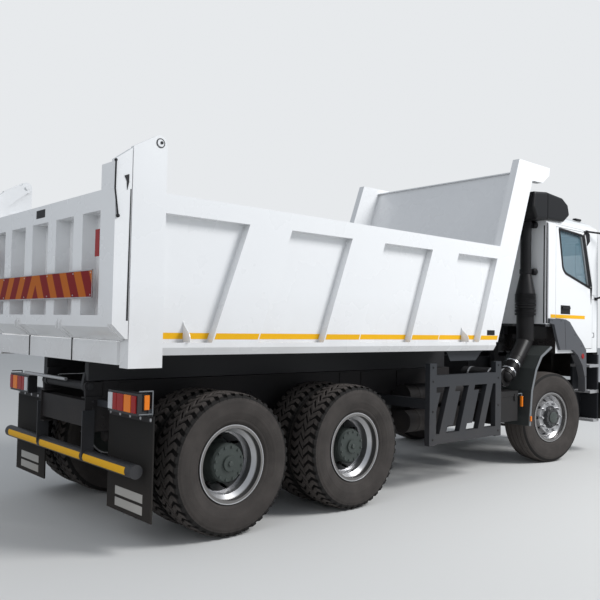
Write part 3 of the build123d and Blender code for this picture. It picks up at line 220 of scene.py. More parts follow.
class Stock:
    """Mesh under construction, in the frame's axes."""

    def __init__(self):
        self.bm = bmesh.new()

    def box(self, low, high):
        size = high - low
        matrix = Matrix.Translation((low + high) / 2) @ Matrix.Diagonal((abs(size.x), abs(size.y), abs(size.z), 1))
        bmesh.ops.create_cube(self.bm, size=1.0, matrix=matrix)

    def skin(self, near, far):
        """Faces between two rings of points and over both ends."""
        faces = [self.bm.faces.new(near), self.bm.faces.new(far[::-1])]
        for n in range(len(near)):
            m = (n + 1) % len(near)
            faces.append(self.bm.faces.new((near[m], near[n], far[n], far[m])))
        bmesh.ops.recalc_face_normals(self.bm, faces=faces)

    def prism(self, outline, lift):
        """A flat outline of 3-D points pushed along the vector lift."""
        near = [self.bm.verts.new(p) for p in outline]
        self.skin(near, [self.bm.verts.new(Vector(p) + Vector(lift)) for p in outline])

    def turned(self, profile, place, steps=48, closed=True):
        """Profile points (radius, along) swept about the local Y axis of the matrix place."""
        rings = [[self.bm.verts.new(place @ Vector((r * math.cos(t), a, r * math.sin(t)))) for r, a in profile]
                 for t in turns(steps)]
        faces = []
        for n in range(steps):
            near, far = rings[n], rings[(n + 1) % steps]
            for k in range(len(profile) if closed else len(profile) - 1):
                m = (k + 1) % len(profile)
                faces.append(self.bm.faces.new((near[k], near[m], far[m], far[k])))
        bmesh.ops.recalc_face_normals(self.bm, faces=faces)

    def pipe(self, points, radius, steps=12):
        """A round pipe through points, with a ball at each corner."""
        for start, end in zip(points, points[1:]):
            place = aimed(start, end - start)
            circle = [place @ Vector((radius * math.cos(t), 0, radius * math.sin(t))) for t in turns(steps)]
            self.prism(circle, end - start)
        for p in points[1:-1]:
            bmesh.ops.create_uvsphere(self.bm, u_segments=steps, v_segments=6, radius=radius,
                                      matrix=Matrix.Translation(p))

    def hoop(self, outline, grow, shrink, radii, to_space, lift):
        """A flat rim round an opening, outwards by grow and inwards by shrink, as thick as the vector lift."""
        outer, inner = rounded(inset(outline, -grow), radii[0]), rounded(inset(outline, shrink), radii[1])
        rings = [[self.bm.verts.new(Vector(to_space(p)) + Vector(shift)) for p in edge]
                 for edge, shift in ((outer, (0, 0, 0)), (inner, (0, 0, 0)), (inner, lift), (outer, lift))]
        faces = []
        for n in range(len(outer)):
            m = (n + 1) % len(outer)
            for near, far in zip(rings, rings[1:] + rings[:1]):
                faces.append(self.bm.faces.new((near[n], near[m], far[m], far[n])))
        bmesh.ops.recalc_face_normals(self.bm, faces=faces)

    def as_object(self, name):
        mesh = bpy.data.meshes.new(name)
        self.bm.to_mesh(mesh)
        self.bm.free()
        return new_object(name, mesh)

    def make(self, name, body, paint, bevel=0.0, smooth=35.0, slot=None):
        """Finishes the mesh as a piece that rides on a body. paint is the name of a shared paint, or a paint."""
        piece = self.as_object(name)
        piece.data.materials.append(PAINTS.get(paint, paint).material)
        if bevel:
            edge = piece.modifiers.new("edges", "BEVEL")
            edge.width = bevel
            edge.segments = 2
            edge.limit_method = "ANGLE"
            edge.angle_limit = math.radians(40)
        for polygon in piece.data.polygons:
            polygon.use_smooth = True
        piece.data.set_sharp_from_angle(angle=math.radians(smooth))
        slot = slot or SLOTS[paint]
        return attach(piece, body)


def coat(nodes, paint):
    """Puts a paint on every slot of some CAD nodes."""
    for name in nodes:
        for holder in NODES[name].material_slots:
            holder.material = paint.material


def at_station(x):
    """The frame's X of a place measured forward from the rearmost axle."""
    return REAR_AXLE + x


def side_outline(points, y):
    """Points of a plate that lies in a plane of one Y, from stations and heights."""
    return [(at_station(x), y, z) for x, z in points]


# Settings that a user would change

def colour_field(name, description, value):
    return bpy.props.FloatVectorProperty(name=name, description=description, subtype="COLOR", default=value)


def length_field(name, description, value):
    return bpy.props.FloatProperty(name=name, description=description, unit="LENGTH", default=value)


class TipperColours(bpy.types.PropertyGroup):
    """Paints of the truck."""

    body: colour_field("Body", "Paint of the cab and the bed", (0.80, 0.81, 0.82))
    frame: colour_field("Frame", "Paint of the chassis", (0.018, 0.018, 0.02))
    guard: colour_field("Guards", "Side guards and wheel guards", (0.024, 0.027, 0.032))
    arch: colour_field("Arch", "Moulded wheel arches of the cab", (0.075, 0.08, 0.09))
    tape: colour_field("Tape", "Reflective tape", (0.80, 0.43, 0.01))
    rubber: colour_field("Tyres", "Tyre rubber", (0.014, 0.012, 0.011))
    rim: colour_field("Rims", "Wheel rims", (0.50, 0.50, 0.51))


class TipperSizes(bpy.types.PropertyGroup):
    """Sizes of what is added to the frame."""

    tape: length_field("Tape height", "Height of the side tape", 0.045)
    nut: length_field("Wheel nut", "Width across the flats of a wheel nut", 0.033)
    tread: length_field("Tread depth", "Depth of the drive tyres' tread", 0.017)
    lugs: bpy.props.IntProperty(name="Lugs", description="Tread blocks round a drive tyre", default=44)


def colours():
    return bpy.context.scene.tipper_colours


def sizes():
    return bpy.context.scene.tipper_sizes


# Each shared paint's material slot. The first paint of a slot also coats the CAD nodes that have it
SLOTS = {"white": "white_paint", "cab": "white_paint", "frame": "black_frame", "guard": "charcoal", "edge": "charcoal",
         "black": "black_plastic", "arch": "grey_plastic", "iron": "iron", "hub": "iron", "tape": "board_paint",
         "plate": "board_paint", "chrome": "chrome_rod", "steel": "step_metal", "glass": "glass", "clear": "lamp_lens",
         "amber": "lamp_lens", "red": "lamp_lens", "flap": "flap_rubber", "cloth": "cloth", "rubber": "tyre"}
PAINTS = {}
# Material, colour, roughness, specular level, dust (share, low, high), grain (scale, detail, depth, strength)
PLAIN_PAINTS = {
    "frame": ("frame_paint", "frame", 0.6, 0.2, (0.10, 0.4, 1.5), (60.0, 4.0, 0.002, 0.4)),
    "guard": ("guard_paint", "guard", 0.5, 0.35, (0.10, 0.3, 1.3), (420.0, 2.0, 0.0006, 0.5)),
    "black": ("black_plastic", (0.009, 0.009, 0.010), 0.42, 0.22, (0.03, 0.9, 2.6), (600.0, 2.0, 0.0004, 0.5)),
    "arch": ("arch_plastic", "arch", 0.6, 0.3, (0.12, 0.8, 1.8), (600.0, 2.0, 0.0004, 0.6)),
    "rubber": ("tyre_rubber", "rubber", 0.82, 0.3, (), ()),
    "iron": ("iron", (0.016, 0.016, 0.018), 0.6, 0.3, (0.14, 0.3, 1.2), (90.0, 5.0, 0.002, 0.6)),
    "flap": ("flap_rubber", (0.014, 0.014, 0.014), 0.8, 0.2, (0.10, 0.1, 1.0), ()),
    "hub": ("hub_paint", (0.045, 0.055, 0.05), 0.45, 0.5, (), ()),
    "cloth": ("seat_cloth", (0.05, 0.055, 0.07), 0.9, 0.5, (), (900.0, 1.0, 0.0006, 0.6)),
    "edge": ("guard_edge", (0.15, 0.16, 0.17), 0.45, 0.5, (), ()),
    "plate": ("blank_plate", (0.42, 0.42, 0.40), 0.5, 0.5, (0.5, 0.1, 0.8), ()),
}
SCREEN_FOOT, SCREEN_LEAN = 1.95, 0.13441


def cab_coat(cab):
    """White outside, black under the cab and dark lining inside, told apart by place."""
    wide = cab.y.size()
    skin = (wide.above(1.142) * cab.x.above(at_station(4.99))).larger(wide.above(1.0) * cab.x.above(at_station(6.05)))
    under = cab.z.below(1.69) * (1.0 - skin.larger(cab.x.above(at_station(6.30))))
    bow = cab.x - at_station(5.53)
    ceiling = cab.x.below(at_station(6.0)) * wide.below(0.98) * cab.z.below(3.088 - bow * bow * 0.24)
    ahead = cab.x + (cab.z - SCREEN_FOOT).larger(0.0) * SCREEN_LEAN
    walls = wide.below(1.107) * cab.x.above(at_station(4.792)) * ahead.below(at_station(6.33))
    lined = cab.mix(walls * ceiling.larger(cab.z.below(2.925)), cab.colour, (0.12, 0.12, 0.125))
    dusty(cab, 0.12, 1.2, 1.8, cab.mix(under, lined, (0.015, 0.015, 0.017)))


def make_paints():
    """Every paint, rubber and plastic that several pieces share."""
    c = colours()
    white = PAINTS["white"] = Paint("white_paint", c.body, 0.28, Coat_Weight=0.5, Coat_Roughness=0.08)
    dusty(white, 0.22, 1.35, 1.9)
    white.feed("Roughness", white.noise(2.2, 4.0).ramp(0.3, 0.8) * 0.14 + 0.22)
    white.bump(white.noise(1.4, 2.0) + white.noise(260.0, 1.0) * 0.02, 0.004, 0.35)
    PAINTS["cab"] = Paint("cab_paint", c.body, 0.2, Coat_Weight=0.7, Coat_Roughness=0.05)
    cab_coat(PAINTS["cab"])
    for key, (name, colour, rough, shine, dust, grain) in PLAIN_PAINTS.items():
        colour = getattr(c, colour) if isinstance(colour, str) else colour
        paint = PAINTS[key] = Paint(name, colour, rough, Specular_IOR_Level=shine)
        if dust:
            dusty(paint, *dust)
        if grain:
            paint.bump(paint.noise(*grain[:2]), *grain[2:])
    tape = PAINTS["tape"] = Paint("reflective_tape", c.tape, 0.45, Specular_IOR_Level=0.15)
    cells = tape.node("ShaderNodeTexVoronoi", {"feature": "DISTANCE_TO_EDGE"}, Vector=tape.place, Scale=170.0)
    light = Signal(tape, cells.outputs[0]).ramp(0.0, 0.18) * 0.25 + 0.75
    tape.feed("Base Color", tape.mix(light, (0.55, 0.24, 0.006), tape.colour))
    for key, name, colour, rough, metal, scale, low, spread, least in (
            ("chrome", "chrome", (0.75, 0.75, 0.76), 0.12, 1.0, 9.0, 0.3, 0.2, 0.08),
            ("steel", "bright_steel", (0.52, 0.52, 0.53), 0.4, 0.85, 30.0, 0.2, 0.25, 0.3)):
        paint = PAINTS[key] = Paint(name, colour, rough, Metallic=metal)
        paint.feed("Roughness", paint.noise(scale, 4.0).ramp(low, 0.9) * spread + least)
    PAINTS["glass"] = Paint("tinted_glass", (0.16, 0.27, 0.33), 0.03, Alpha=0.46, Coat_Weight=1.0, Coat_Roughness=0.02)
    for key, colour, rough, fixed, scale, strength in (
            ("amber", (0.80, 0.20, 0.01), 0.2, {"Specular_IOR_Level": 0.3}, 90.0, 0.6),
            # The red is a red lens colour, kept dark as painted shade of the rear lamps' shaded faces; the reflectors
            # share it
            ("red", (0.30, 0.008, 0.008), 0.2, {"Specular_IOR_Level": 0.3}, 90.0, 0.6),
            ("clear", (0.55, 0.57, 0.60), 0.08, {"Coat_Weight": 0.6}, 70.0, 0.5)):
        lens = PAINTS[key] = Paint(f"{key}_lens", colour, rough, **fixed)
        lens.bump(lens.flutes(scale), 0.001, strength)


def spot(point, side=1):
    """A point given as station, distance to the side and height."""
    return Vector((at_station(point[0]), side * point[1], point[2]))


def facing(point, way, side=1):
    """The matrix of a turned piece whose local Y looks along a way."""
    return aimed(spot(point, side), Vector((way[0], side * way[1], way[2])))


def bits(name, body, paint, boxes=(), rods=(), discs=(), rings=(), plates=(), sides=(RIGHT, LEFT), bevel=0.0015,
         smooth=35.0):
    """Small parts on one or both sides as one piece, or in the middle where sides is (1,).
    A box row has two stations, two distances to the side and two heights; a rod row has points and a radius;
    a disc its foot, way, radius and height; a ring its foot, way, two radii and width;
    a plate an outline of stations and heights, and two distances to the side."""
    stock = Stock()
    for side in sides:
        for x0, x1, y0, y1, z0, z1 in boxes:
            stock.box(spot((x0, y0, z0), side), spot((x1, y1, z1), side))
        for points, radius in rods:
            stock.pipe([spot(point, side) for point in points], radius)
        for foot, way, radius, height in discs:
            edge = [(0, 0), (radius, 0), (radius, height * 0.7), (radius - height * 0.3, height), (0, height)]
            stock.turned(edge, facing(foot, way, side), 24, closed=False)
        for foot, way, inner, outer, width in rings:
            stock.turned([(inner, 0), (outer, 0), (outer, width), (inner, width)], facing(foot, way, side), 36)
        for outline, y0, y1 in plates:
            stock.prism(side_outline(outline, side * y0), (0, side * (y1 - y0), 0))
    return stock.make(name, body, paint, bevel, smooth)


def rounded(points, radius, steps=4):
    """A flat outline with its corners rounded off."""
    result = []
    for n, here in enumerate(points):
        corner, before, after = Vector(here), Vector(points[n - 1]), Vector(points[(n + 1) % len(points)])
        start, end = (corner + (other - corner).normalized() * radius for other in (before, after))
        for k in range(steps + 1):
            t = k / steps
            result.append(tuple(start * (1 - t) ** 2 + corner * (2 * t * (1 - t)) + end * t * t))
    return result


def arc(start, middle, end, steps):
    """Points of the circular arc through three flat points, both ends included."""
    a, b, c = (complex(*point) for point in (start, middle, end))
    w = (c - a) / (b - a)
    centre = a + (b - a) * (w - abs(w) ** 2) / (w - w.conjugate())
    sweep = cmath.phase((c - centre) / (a - centre))
    points = [centre + (a - centre) * cmath.exp(1j * sweep * n / steps) for n in range(steps + 1)]
    return [(p.real, p.imag) for p in points]


def inset(points, distance):
    """A flat outline drawn in by a distance on every side, or out where it is negative."""
    corners = [Vector(point) for point in points]
    edges = list(zip(corners, corners[1:] + corners[:1]))
    turn = math.copysign(1, sum(a.x * b.y - b.x * a.y for a, b in edges))
    ways = [(b - a).normalized().orthogonal() * turn for a, b in edges]
    return [tuple(corner + (before + after) * (distance / (1 + before.dot(after))))
            for corner, before, after in zip(corners, ways[-1:] + ways, ways)]


# Places

def wheel_place(side, axle):
    """The matrix of a wheel: its local Y runs outwards along the axle."""
    outwards = Matrix.Diagonal((1, side, 1, 1))
    if axle == "front":
        pivot = Matrix.Translation((FRONT_AXLE, side * KINGPIN_Y, AXLE_HEIGHT)) @ Matrix.Rotation(STEER_REST, 4, "Z")
        return pivot @ Matrix.Translation((0, side * (FRONT_CENTRE - KINGPIN_Y), 0)) @ outwards
    x = {"mid": MID_AXLE, "rear": REAR_AXLE}[axle]
    return Matrix.Translation((x, side * sum(DUAL_CENTRES) / 2, AXLE_HEIGHT)) @ outwards


def nuts(stock, place, count, radius, along, across, height, stud=0.0, start=0.0):
    """A ring of hexagon nuts, with stud ends where stud is more than nothing."""
    half = across / math.sqrt(3)
    nut = [(0, -0.004), (half, -0.004), (half, height * 0.8), (half * 0.86, height), (0, height)]
    end = [(0, height), (stud, height), (stud, height + 0.012), (0, height + 0.012)]
    for angle in turns(count):
        at = place @ Matrix.Rotation(angle + start, 4, "Y") @ Matrix.Translation((radius, along, 0))
        stock.turned(nut, at, 6, closed=False)
        if stud:
            stock.turned(end, at, 10, closed=False)


def rectangle(x0, x1, z0, z1):
    return [(x0, z0), (x1, z0), (x1, z1), (x0, z1)]


def border(x0, x1, half, low, high, thick, over=0.0):
    """Box rows of four strips round a rectangle that looks along the truck."""
    edge = half + over
    return [(x0, x1, *row) for row in ((-half, half, low, low + thick), (-half, half, high - thick, high),
                                       (-edge, thick - edge, low, high), (edge - thick, edge, low, high))]


# Tyres

SIDEWALL = [(0.300, 0.113), (0.4086, 0.156), (0.522, 0.144)]
# Moulded rings of a sidewall: from and to which radius, and how proud
WALL_RINGS = [(0.316, 0.338, 0.0035), (0.392, 0.402, 0.002), (0.470, 0.488, 0.002)]
BEAD_RADIUS, BEAD_HALF = 0.2856, 0.113
SHOULDER, CROWN_DROP = 0.134, 0.010
GROOVE_CENTRES = (0.088, 0.034)
GROOVE = [(0.0055, 0), (0.003, 0.014), (-0.003, 0.014), (-0.0055, 0)]


def carcass(depth):
    """Half of a tyre's outline from the bead to the crown, as radius and distance from the middle."""
    wall = [(radius, along + sum(proud for low, high, proud in WALL_RINGS if low < radius < high))
            for radius, along in arc(*SIDEWALL, 26)]
    crown = [(TYRE_RADIUS - CROWN_DROP - depth, SHOULDER), (TYRE_RADIUS - depth, 0.0)]
    return [(BEAD_RADIUS, 0.0), (BEAD_RADIUS, BEAD_HALF)] + wall + crown


def whole(half):
    """Both halves of a turned outline."""
    return half + [(r, -a) for r, a in reversed(half[1:-1])]


def crown_radius(along):
    return TYRE_RADIUS - CROWN_DROP * (along / SHOULDER) ** 2


def lug(stock, place, sides, start, stop, skew):
    """One tread block. Each of its two sides is (top radius, top, foot radius, foot)."""
    rings = []
    for angle, taper in ((start, 1), (stop, -1)):
        ring = []
        for top_radius, top, foot_radius, foot in sides:
            for radius, along, draft in ((foot_radius, foot, -0.004), (top_radius, top, 0.004)):
                turn = angle + skew * along + taper * draft / radius
                ring.append(place @ Vector((radius * math.cos(turn), along, radius * math.sin(turn))))
        ring = [stock.bm.verts.new(p) for p in ring]
        rings.append([ring[0], ring[1], ring[3], ring[2]])
    stock.skin(*rings)


# Each row: inner and outer edge from the middle, share of the pitch, start in pitches, skew
TREAD_ROWS = [
    (-0.027, 0.027, 0.62, 0.00, 2.2),
    (0.034, 0.082, 0.66, 0.45, -1.6),
    (-0.082, -0.034, 0.66, 0.55, -1.6),
    (0.090, 0.144, 0.60, 0.95, 0.9),
    (-0.144, -0.090, 0.60, 0.05, 0.9),
]


def drive_tyre(stock, place):
    """A drive tyre with staggered blocks that wrap over its shoulders."""
    depth = sizes().tread
    stock.turned(whole(carcass(depth)), place, 72)
    pitch = 2 * math.pi / sizes().lugs
    for inner, outer, share, first, skew in TREAD_ROWS:
        sides = []
        for along in (inner, outer):
            top = crown_radius(along)
            if abs(along) > SHOULDER:
                way = math.copysign(1, along)
                sides.append((top - 0.003, way * 0.146, 0.494, way * 0.1535))
            else:
                sides.append((top, along, top - depth - 0.004, along))
        for n in range(sizes().lugs):
            start = (n + first) * pitch
            lug(stock, place, sides, start, start + share * pitch, skew)


def steer_tyre(stock, place):
    """A steering tyre with four straight grooves."""
    half = carcass(0.0)
    crown = [(crown_radius(centre + shift) - depth, centre + shift)
             for centre in GROOVE_CENTRES for shift, depth in GROOVE]
    stock.turned(whole(half[:-1] + crown + half[-1:]), place, 96)


class TIPPER_OT_tyres(bpy.types.Operator):
    """Tyres with their treads in place of the plain ones"""
    bl_idname = "tipper.tyres"
    bl_label = "Tyres"

    def execute(self, context):
        for name, side in SIDES:
            for axle in ("mid", "rear"):
                stock = Stock()
                for centre in DUAL_CENTRES:
                    shift = Matrix.Translation((0, centre - sum(DUAL_CENTRES) / 2, 0))
                    drive_tyre(stock, wheel_place(side, axle) @ shift @ Matrix.Rotation(0.7 * centre, 4, "Y"))
                piece = stock.make(f"drive_tyres_{axle}_{name}", f"{axle}_wheel_{name}", tyre_paint(side, axle),
                                   0.0015, 30, "tyre")
                piece.modifiers["edges"].segments = 1
                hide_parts(f"{axle}_tyres_{name}")
            stock = Stock()
            steer_tyre(stock, wheel_place(side, "front"))
            piece = stock.make(f"steer_tyre_{name}", f"front_wheel_{name}", tyre_paint(side, "front"), 0.0, 30, "tyre")
            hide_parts(f"front_tyre_{name}")
        return {"FINISHED"}


# Wheels

def radius_from_axle(paint, side, axle):
    """Distance from a wheel's axle, as a shader signal."""
    at = wheel_place(side, axle)
    centre, across = at.translation, at.to_3x3() @ Vector((1, 0, 0))
    forward = (paint.x - centre.x) * across.x + (paint.y - centre.y) * across.y
    up = paint.z - centre.z
    return (forward * forward + up * up).math("SQRT")


def tyre_paint(side, axle):
    """Rubber with dusty tread tops over a dark foot."""
    paint = Paint(f"tyre_{axle}_{side}", colours().rubber, 0.8, Specular_IOR_Level=0.3)
    radius = radius_from_axle(paint, side, axle)
    patch = paint.noise(7.0, 6.0).ramp(0.3, 0.8)
    share = radius.ramp(0.5335, 0.537) * 0.7 + radius.below(0.505) * (patch * 0.25 + 0.28)
    paint.feed("Base Color", paint.mix(share, (0.008, 0.007, 0.0065), (0.098, 0.085, 0.078)))
    paint.bump(paint.noise(180.0, 4.0) + radius.band(0.350, 0.353) + radius.band(0.440, 0.443), 0.001, 0.6)
    return paint


def wheel_paint(side, axle, hub_radius, hub_colour):
    """Silver rim with a darker hub inside a radius, grime patches inside the flange, and a band of painted shade in the
    rim's well.
    """
    paint = Paint(f"wheel_{axle}_{side}", colours().rim, 0.36, Metallic=0.8)
    radius = radius_from_axle(paint, side, axle)
    hub = radius.below(hub_radius)
    grime = paint.noise(9.0, 5.0).ramp(0.35, 0.8) * 0.25 * (1.0 - radius.ramp(0.27, 0.29))
    # Painted shade: the band between radii 0.270 and 0.294, the rim's well, is darkened towards the grime colour
    well_shade = radius.band(0.270, 0.294) * 0.75
    # One dark colour carries both the grime patches and the painted shade of the well
    base = paint.mix(grime.larger(well_shade), paint.colour, (0.13, 0.12, 0.11))
    paint.feed("Base Color", paint.mix(hub, base, hub_colour))
    paint.feed("Roughness", hub * 0.16 + 0.32)
    paint.feed("Metallic", 0.8 - hub * 0.6)
    return paint


# Rows for nuts(), and outlines as radius and distance along the axle
HUB_BOLTS = [(12, 0.126, 0.250, 0.019, 0.011, 0.0, 0.2), (1, 0.0, 0.272, 0.036, 0.012),
             (1, 0.062, 0.256, 0.024, 0.009, 0.0, 0.9)]
HUB_RING = [(0.150, 0.228), (0.1535, 0.232), (0.1535, 0.214), (0.150, 0.210)]
RIM_EDGE = [(0.2985, 0.303), (0.3015, 0.3035), (0.3015, 0.299), (0.2985, 0.2905)]
HUB_CAP = [(0.0, 0.158), (0.066, 0.158), (0.070, 0.164), (0.052, 0.171), (0.0, 0.172)]


def wheel_part(kind, axle, name, paint, rows=(), outline=(), steps=48, closed=True, bevel=0.0006, slot=None):
    """Nuts and a turned ring on one wheel, as one piece."""
    stock = Stock()
    place = wheel_place(dict(SIDES)[name], axle)
    for row in rows:
        nuts(stock, place, *row)
    if outline:
        stock.turned(outline, place, steps, closed)
    stock.make(f"{kind}_{axle}_{name}", f"{axle}_wheel_{name}", paint, bevel, 35.0 if rows else 30.0, slot)


class TIPPER_OT_wheels(bpy.types.Operator):
    """Rim paint, wheel nuts, hub bolts, plugs and rim edges"""
    bl_idname = "tipper.wheels"
    bl_label = "Wheels"

    def execute(self, context):
        nut = (sizes().nut, 0.026, 0.011)
        for name, side in SIDES:
            for axle in ("mid", "rear"):
                coat([f"{axle}_wheels_{name}"], wheel_paint(side, axle, 0.192, (0.045, 0.055, 0.05)))
                wheel_part("wheel_nuts", axle, name, "iron", [(10, 0.181, 0.040, *nut)], bevel=0.0008)
                wheel_part("hub_bolts", axle, name, "hub", HUB_BOLTS, HUB_RING)
                wheel_part("rim_edge", axle, name, "steel", (), RIM_EDGE, 72, bevel=0.0, slot="rim_silver")
            coat([f"front_wheel_{name}"], wheel_paint(side, "front", 0.138, (0.05, 0.05, 0.052)))
            wheel_part("wheel_nuts", "front", name, "steel", [(10, 0.1675, 0.112, *nut)], bevel=0.0008,
                       slot="rim_silver")
            wheel_part("hub_cap", "front", name, "hub", [(8, 0.098, 0.156, 0.015, 0.008, 0.0, 0.2)], HUB_CAP, 36, False)
        return {"FINISHED"}


# Reflective tape

RIB_START, RIB_PITCH, RIB_WIDTH, RIB_COUNT = 0.094, 1.145, 0.435, 3
PANEL_START, PANEL_END, POST_WIDTH = -0.660, 3.529, 0.330
TAPE_FOOT, TAPE_THICK, TAPE_GAP, PANEL_GAP = 1.500, 0.0012, 0.012, 0.004
RAIL_UNDERSIDE = 2.39
UNDERRUN_X, UNDERRUN_Z = -0.80, 0.58


def lean(x, z):
    """The station at height z of a leaning edge that passes x under the top rail."""
    return x + LEAN * (z - RAIL_UNDERSIDE)


def tape_runs():
    """Start, end and side distance of every strip along the bed."""
    runs, edge = [], PANEL_START
    for rib in [RIB_START + n * RIB_PITCH for n in range(RIB_COUNT)]:
        runs += [(edge, rib - PANEL_GAP, PANEL_Y), (rib + TAPE_GAP, rib + RIB_WIDTH - TAPE_GAP, BED_HALF)]
        edge = rib + RIB_WIDTH
    return runs + [(edge, PANEL_END - PANEL_GAP, PANEL_Y), (PANEL_END + TAPE_GAP, PANEL_END + POST_WIDTH, BED_HALF)]


class TIPPER_OT_tape(bpy.types.Operator):
    """Yellow reflective tape on the bed, the doors and the bar behind the wheels"""
    bl_idname = "tipper.tape"
    bl_label = "Tape"

    def execute(self, context):
        low, high = TAPE_FOOT, TAPE_FOOT + sizes().tape
        for name, side in SIDES:
            stock = Stock()
            for start, end, across in tape_runs():
                foot, head = (start, start) if start < 0 else (lean(start, low), lean(start, high))
                corners = [(foot, low), (lean(end, low), low), (lean(end, high), high), (head, high)]
                stock.prism(side_outline(corners, side * across), (0, side * TAPE_THICK, 0))
            stock.make(f"side_tape_{name}", "bed", "tape")
            for piece, body, start, end in (("door_tape", f"door_{name}", 4.992, 5.747),
                                            ("cab_tape", "cab", 4.865, 4.982)):
                bits(f"{piece}_{name}", body, "tape", sides=(side,), bevel=0.0,
                     boxes=[(start, end, 1.150, 1.150 + TAPE_THICK, 1.768, 1.812)])
        stock = Stock()
        angles = [math.radians(-32 + 64 * n / 6) for n in range(7)]
        outer, inner = ([(at_station(UNDERRUN_X) - r * math.cos(t), UNDERRUN_Z + r * math.sin(t)) for t in angles]
                        for r in (0.0512, 0.0502))
        for start, end in ((-1.10, -0.445), (-0.385, 0.385), (0.445, 1.10)):
            stock.prism([(x, start, z) for x, z in outer + inner[::-1]], (0, end - start, 0))
        stock.make("underrun_tape", "chassis", "tape")
        return {"FINISHED"}


# Bed

# Small plates at the gate's edges, from the side
EAR_STOP = [(-0.990, 2.605), (-0.955, 2.620), (-0.955, 2.565), (-0.967, 2.510), (-0.972, 2.570)]
GATE_SEAL = [(-0.949, 1.625), (-0.935, 1.625), (-0.935, 2.520), (-0.942, 2.520)]


class TIPPER_OT_tail(bpy.types.Operator):
    """Marker board stripes, reflectors, plates and the rope rods at the tail"""
    bl_idname = "tipper.tail"
    bl_label = "Tail"

    def execute(self, context):
        board = Paint("marker_stripes", (0.20, 0.005, 0.005), 0.5, Specular_IOR_Level=0.15)
        run = board.y.size() - (1.975 - board.z) * 0.55 + 2.0
        stripe = (run / 0.245 + 0.5).math("FRACT").band(0.48, 0.95)
        board.feed("Base Color", board.mix(stripe, board.colour, (0.46, 0.115, 0.006)))
        coat(["marker_board"], board)
        bits("marker_board_edge", "tailgate", "steel", sides=(1,), bevel=0.0,
             boxes=border(BOARD_FACE - 0.0015, BOARD_FACE + 0.002, 1.0, 1.779, 1.976, 0.007))
        bits("marker_board_rivets", "tailgate", "steel", sides=(1,), bevel=0.0, discs=[
            ((BOARD_FACE, y, z), BACK, 0.006, 0.003)
            for y in (-0.97, -0.69, -0.23, 0.23, 0.69, 0.97) for z in (1.80, 1.955)])
        bits("gate_reflectors", "tailgate", "red", [(-1.0535, -1.050, 0.972, 1.036, 2.066, 2.256)])
        bits("gate_plate", "tailgate", "black", [(-1.0545, -1.050, -0.085, 0.085, 2.43, 2.495)], sides=(1,))
        bits("rope_rods", "tailgate", "iron", bevel=0.0,
             rods=[([(-1.058, 1.257, 2.700), (-1.060, 1.258, 2.508), (-1.034, 1.258, 2.327)], 0.006)],
             plates=[(EAR_STOP, 1.2495, 1.2535), (GATE_SEAL, 1.2495, 1.2515)],
             discs=[((-1.034, 1.253, 2.327), OUT, 0.012, 0.014), ((-1.058, 1.250, 2.700), OUT, 0.010, 0.014)])
        bits("lock_pins", "tailgate", "iron", bevel=0.0,
             rods=[([(-1.030, 0.365, 1.585), (-1.030, 0.462, 1.585)], 0.009)])
        bits("lock_rods", "bed", "black", bevel=0.0,
             rods=[([(-0.945, 0.415, 1.320), (-0.945, 0.415, 1.500)], 0.0065)])
        return {"FINISHED"}


# A rope hook from the side: how far out, and height
HOOK = [(0.0, 1.636), (0.020, 1.600), (0.045, 1.577), (0.076, 1.551), (0.091, 1.529), (0.098, 1.503), (0.098, 1.477),
        (0.0, 1.477)]
HINGE = (-0.718, BED_HALF, 2.875)
BRACE_FOOT, BRACE_HEAD = 1.50, 3.38


class TIPPER_OT_bed(bpy.types.Operator):
    """Rope hooks, plates, hinge pins and braces on the bed, and the finish of its floor"""
    bl_idname = "tipper.bed"
    bl_label = "Bed"

    def execute(self, context):
        floor = Paint("bed_floor_paint", (0.30, 0.30, 0.30), 0.55, Metallic=0.2)
        scuff = floor.noise(1.0, 6.0, (5.0, 60.0, 5.0)).ramp(0.45, 0.75)
        top = floor.mix(scuff, (0.34, 0.34, 0.34), (0.19, 0.17, 0.15))
        floor.feed("Base Color", floor.mix(floor.z.above(1.478), colours().frame, top))
        coat(["bed_floor"], floor)
        stock = Stock()
        for name, side in SIDES:
            for x in (-0.451, 2.971):
                stock.prism([(at_station(x), side * (PANEL_Y - 0.002 + out), z) for out, z in HOOK], (0.007, 0, 0))
        stock.make("rope_hooks", "bed", "white", 0.0012)
        bits("post_plates", "bed", "black", [(3.341, 3.485, BED_HALF, BED_HALF + 0.003, 1.549, 1.603)])
        # Painted shade: a dark iron ring round each white hinge pin end stands for the shaded recess round the pin; a
        # small dark stud sits beside it
        bits("hinge_shade_rings", "bed", "iron", rings=[(HINGE, OUT, 0.0285, 0.034, 0.003)],
             discs=[((HINGE[0] + 0.006, BED_HALF + 0.004, 2.878), OUT, 0.011, 0.009)], bevel=0.0)
        bits("hinge_pin_ends", "bed", "white", discs=[(HINGE, OUT, 0.026, 0.006)], bevel=0.0)
        foot, head = lean(3.886, BRACE_FOOT), lean(3.886, BRACE_HEAD)
        brace = [(foot, BRACE_FOOT), (foot + 0.055, BRACE_FOOT), (head + 0.055, BRACE_HEAD), (head, BRACE_HEAD)]
        bits("headboard_braces", "bed", "white", sides=(1,),
             plates=[(brace, y - 0.035, y + 0.035) for y in (-0.70, 0.0, 0.70)])
        bits("bed_gussets", "bed", "guard",
             plates=[([(2.755, 1.386), (3.41, 1.386), (3.285, 1.276), (2.83, 1.276)], 1.144, 1.150)])
        bits("shaft_sleeve", "bed", "iron", rings=[((-0.79, 0.0, 1.11), OUT, 0.0285, 0.034, 0.325)], bevel=0.0)
        return {"FINISHED"}


# Chassis

LENSES = [("red", 1.112, 1.178), ("amber", 1.008, 1.106), ("red", 0.905, 1.002), ("red", 0.842, 0.899),
          ("clear", 0.772, 0.836)]
HEADLAMPS, HEADLAMP_Z = (0.688, 0.812), 0.70
FOG_LAMP = (BUMPER_FACE, 0.75, 0.52)


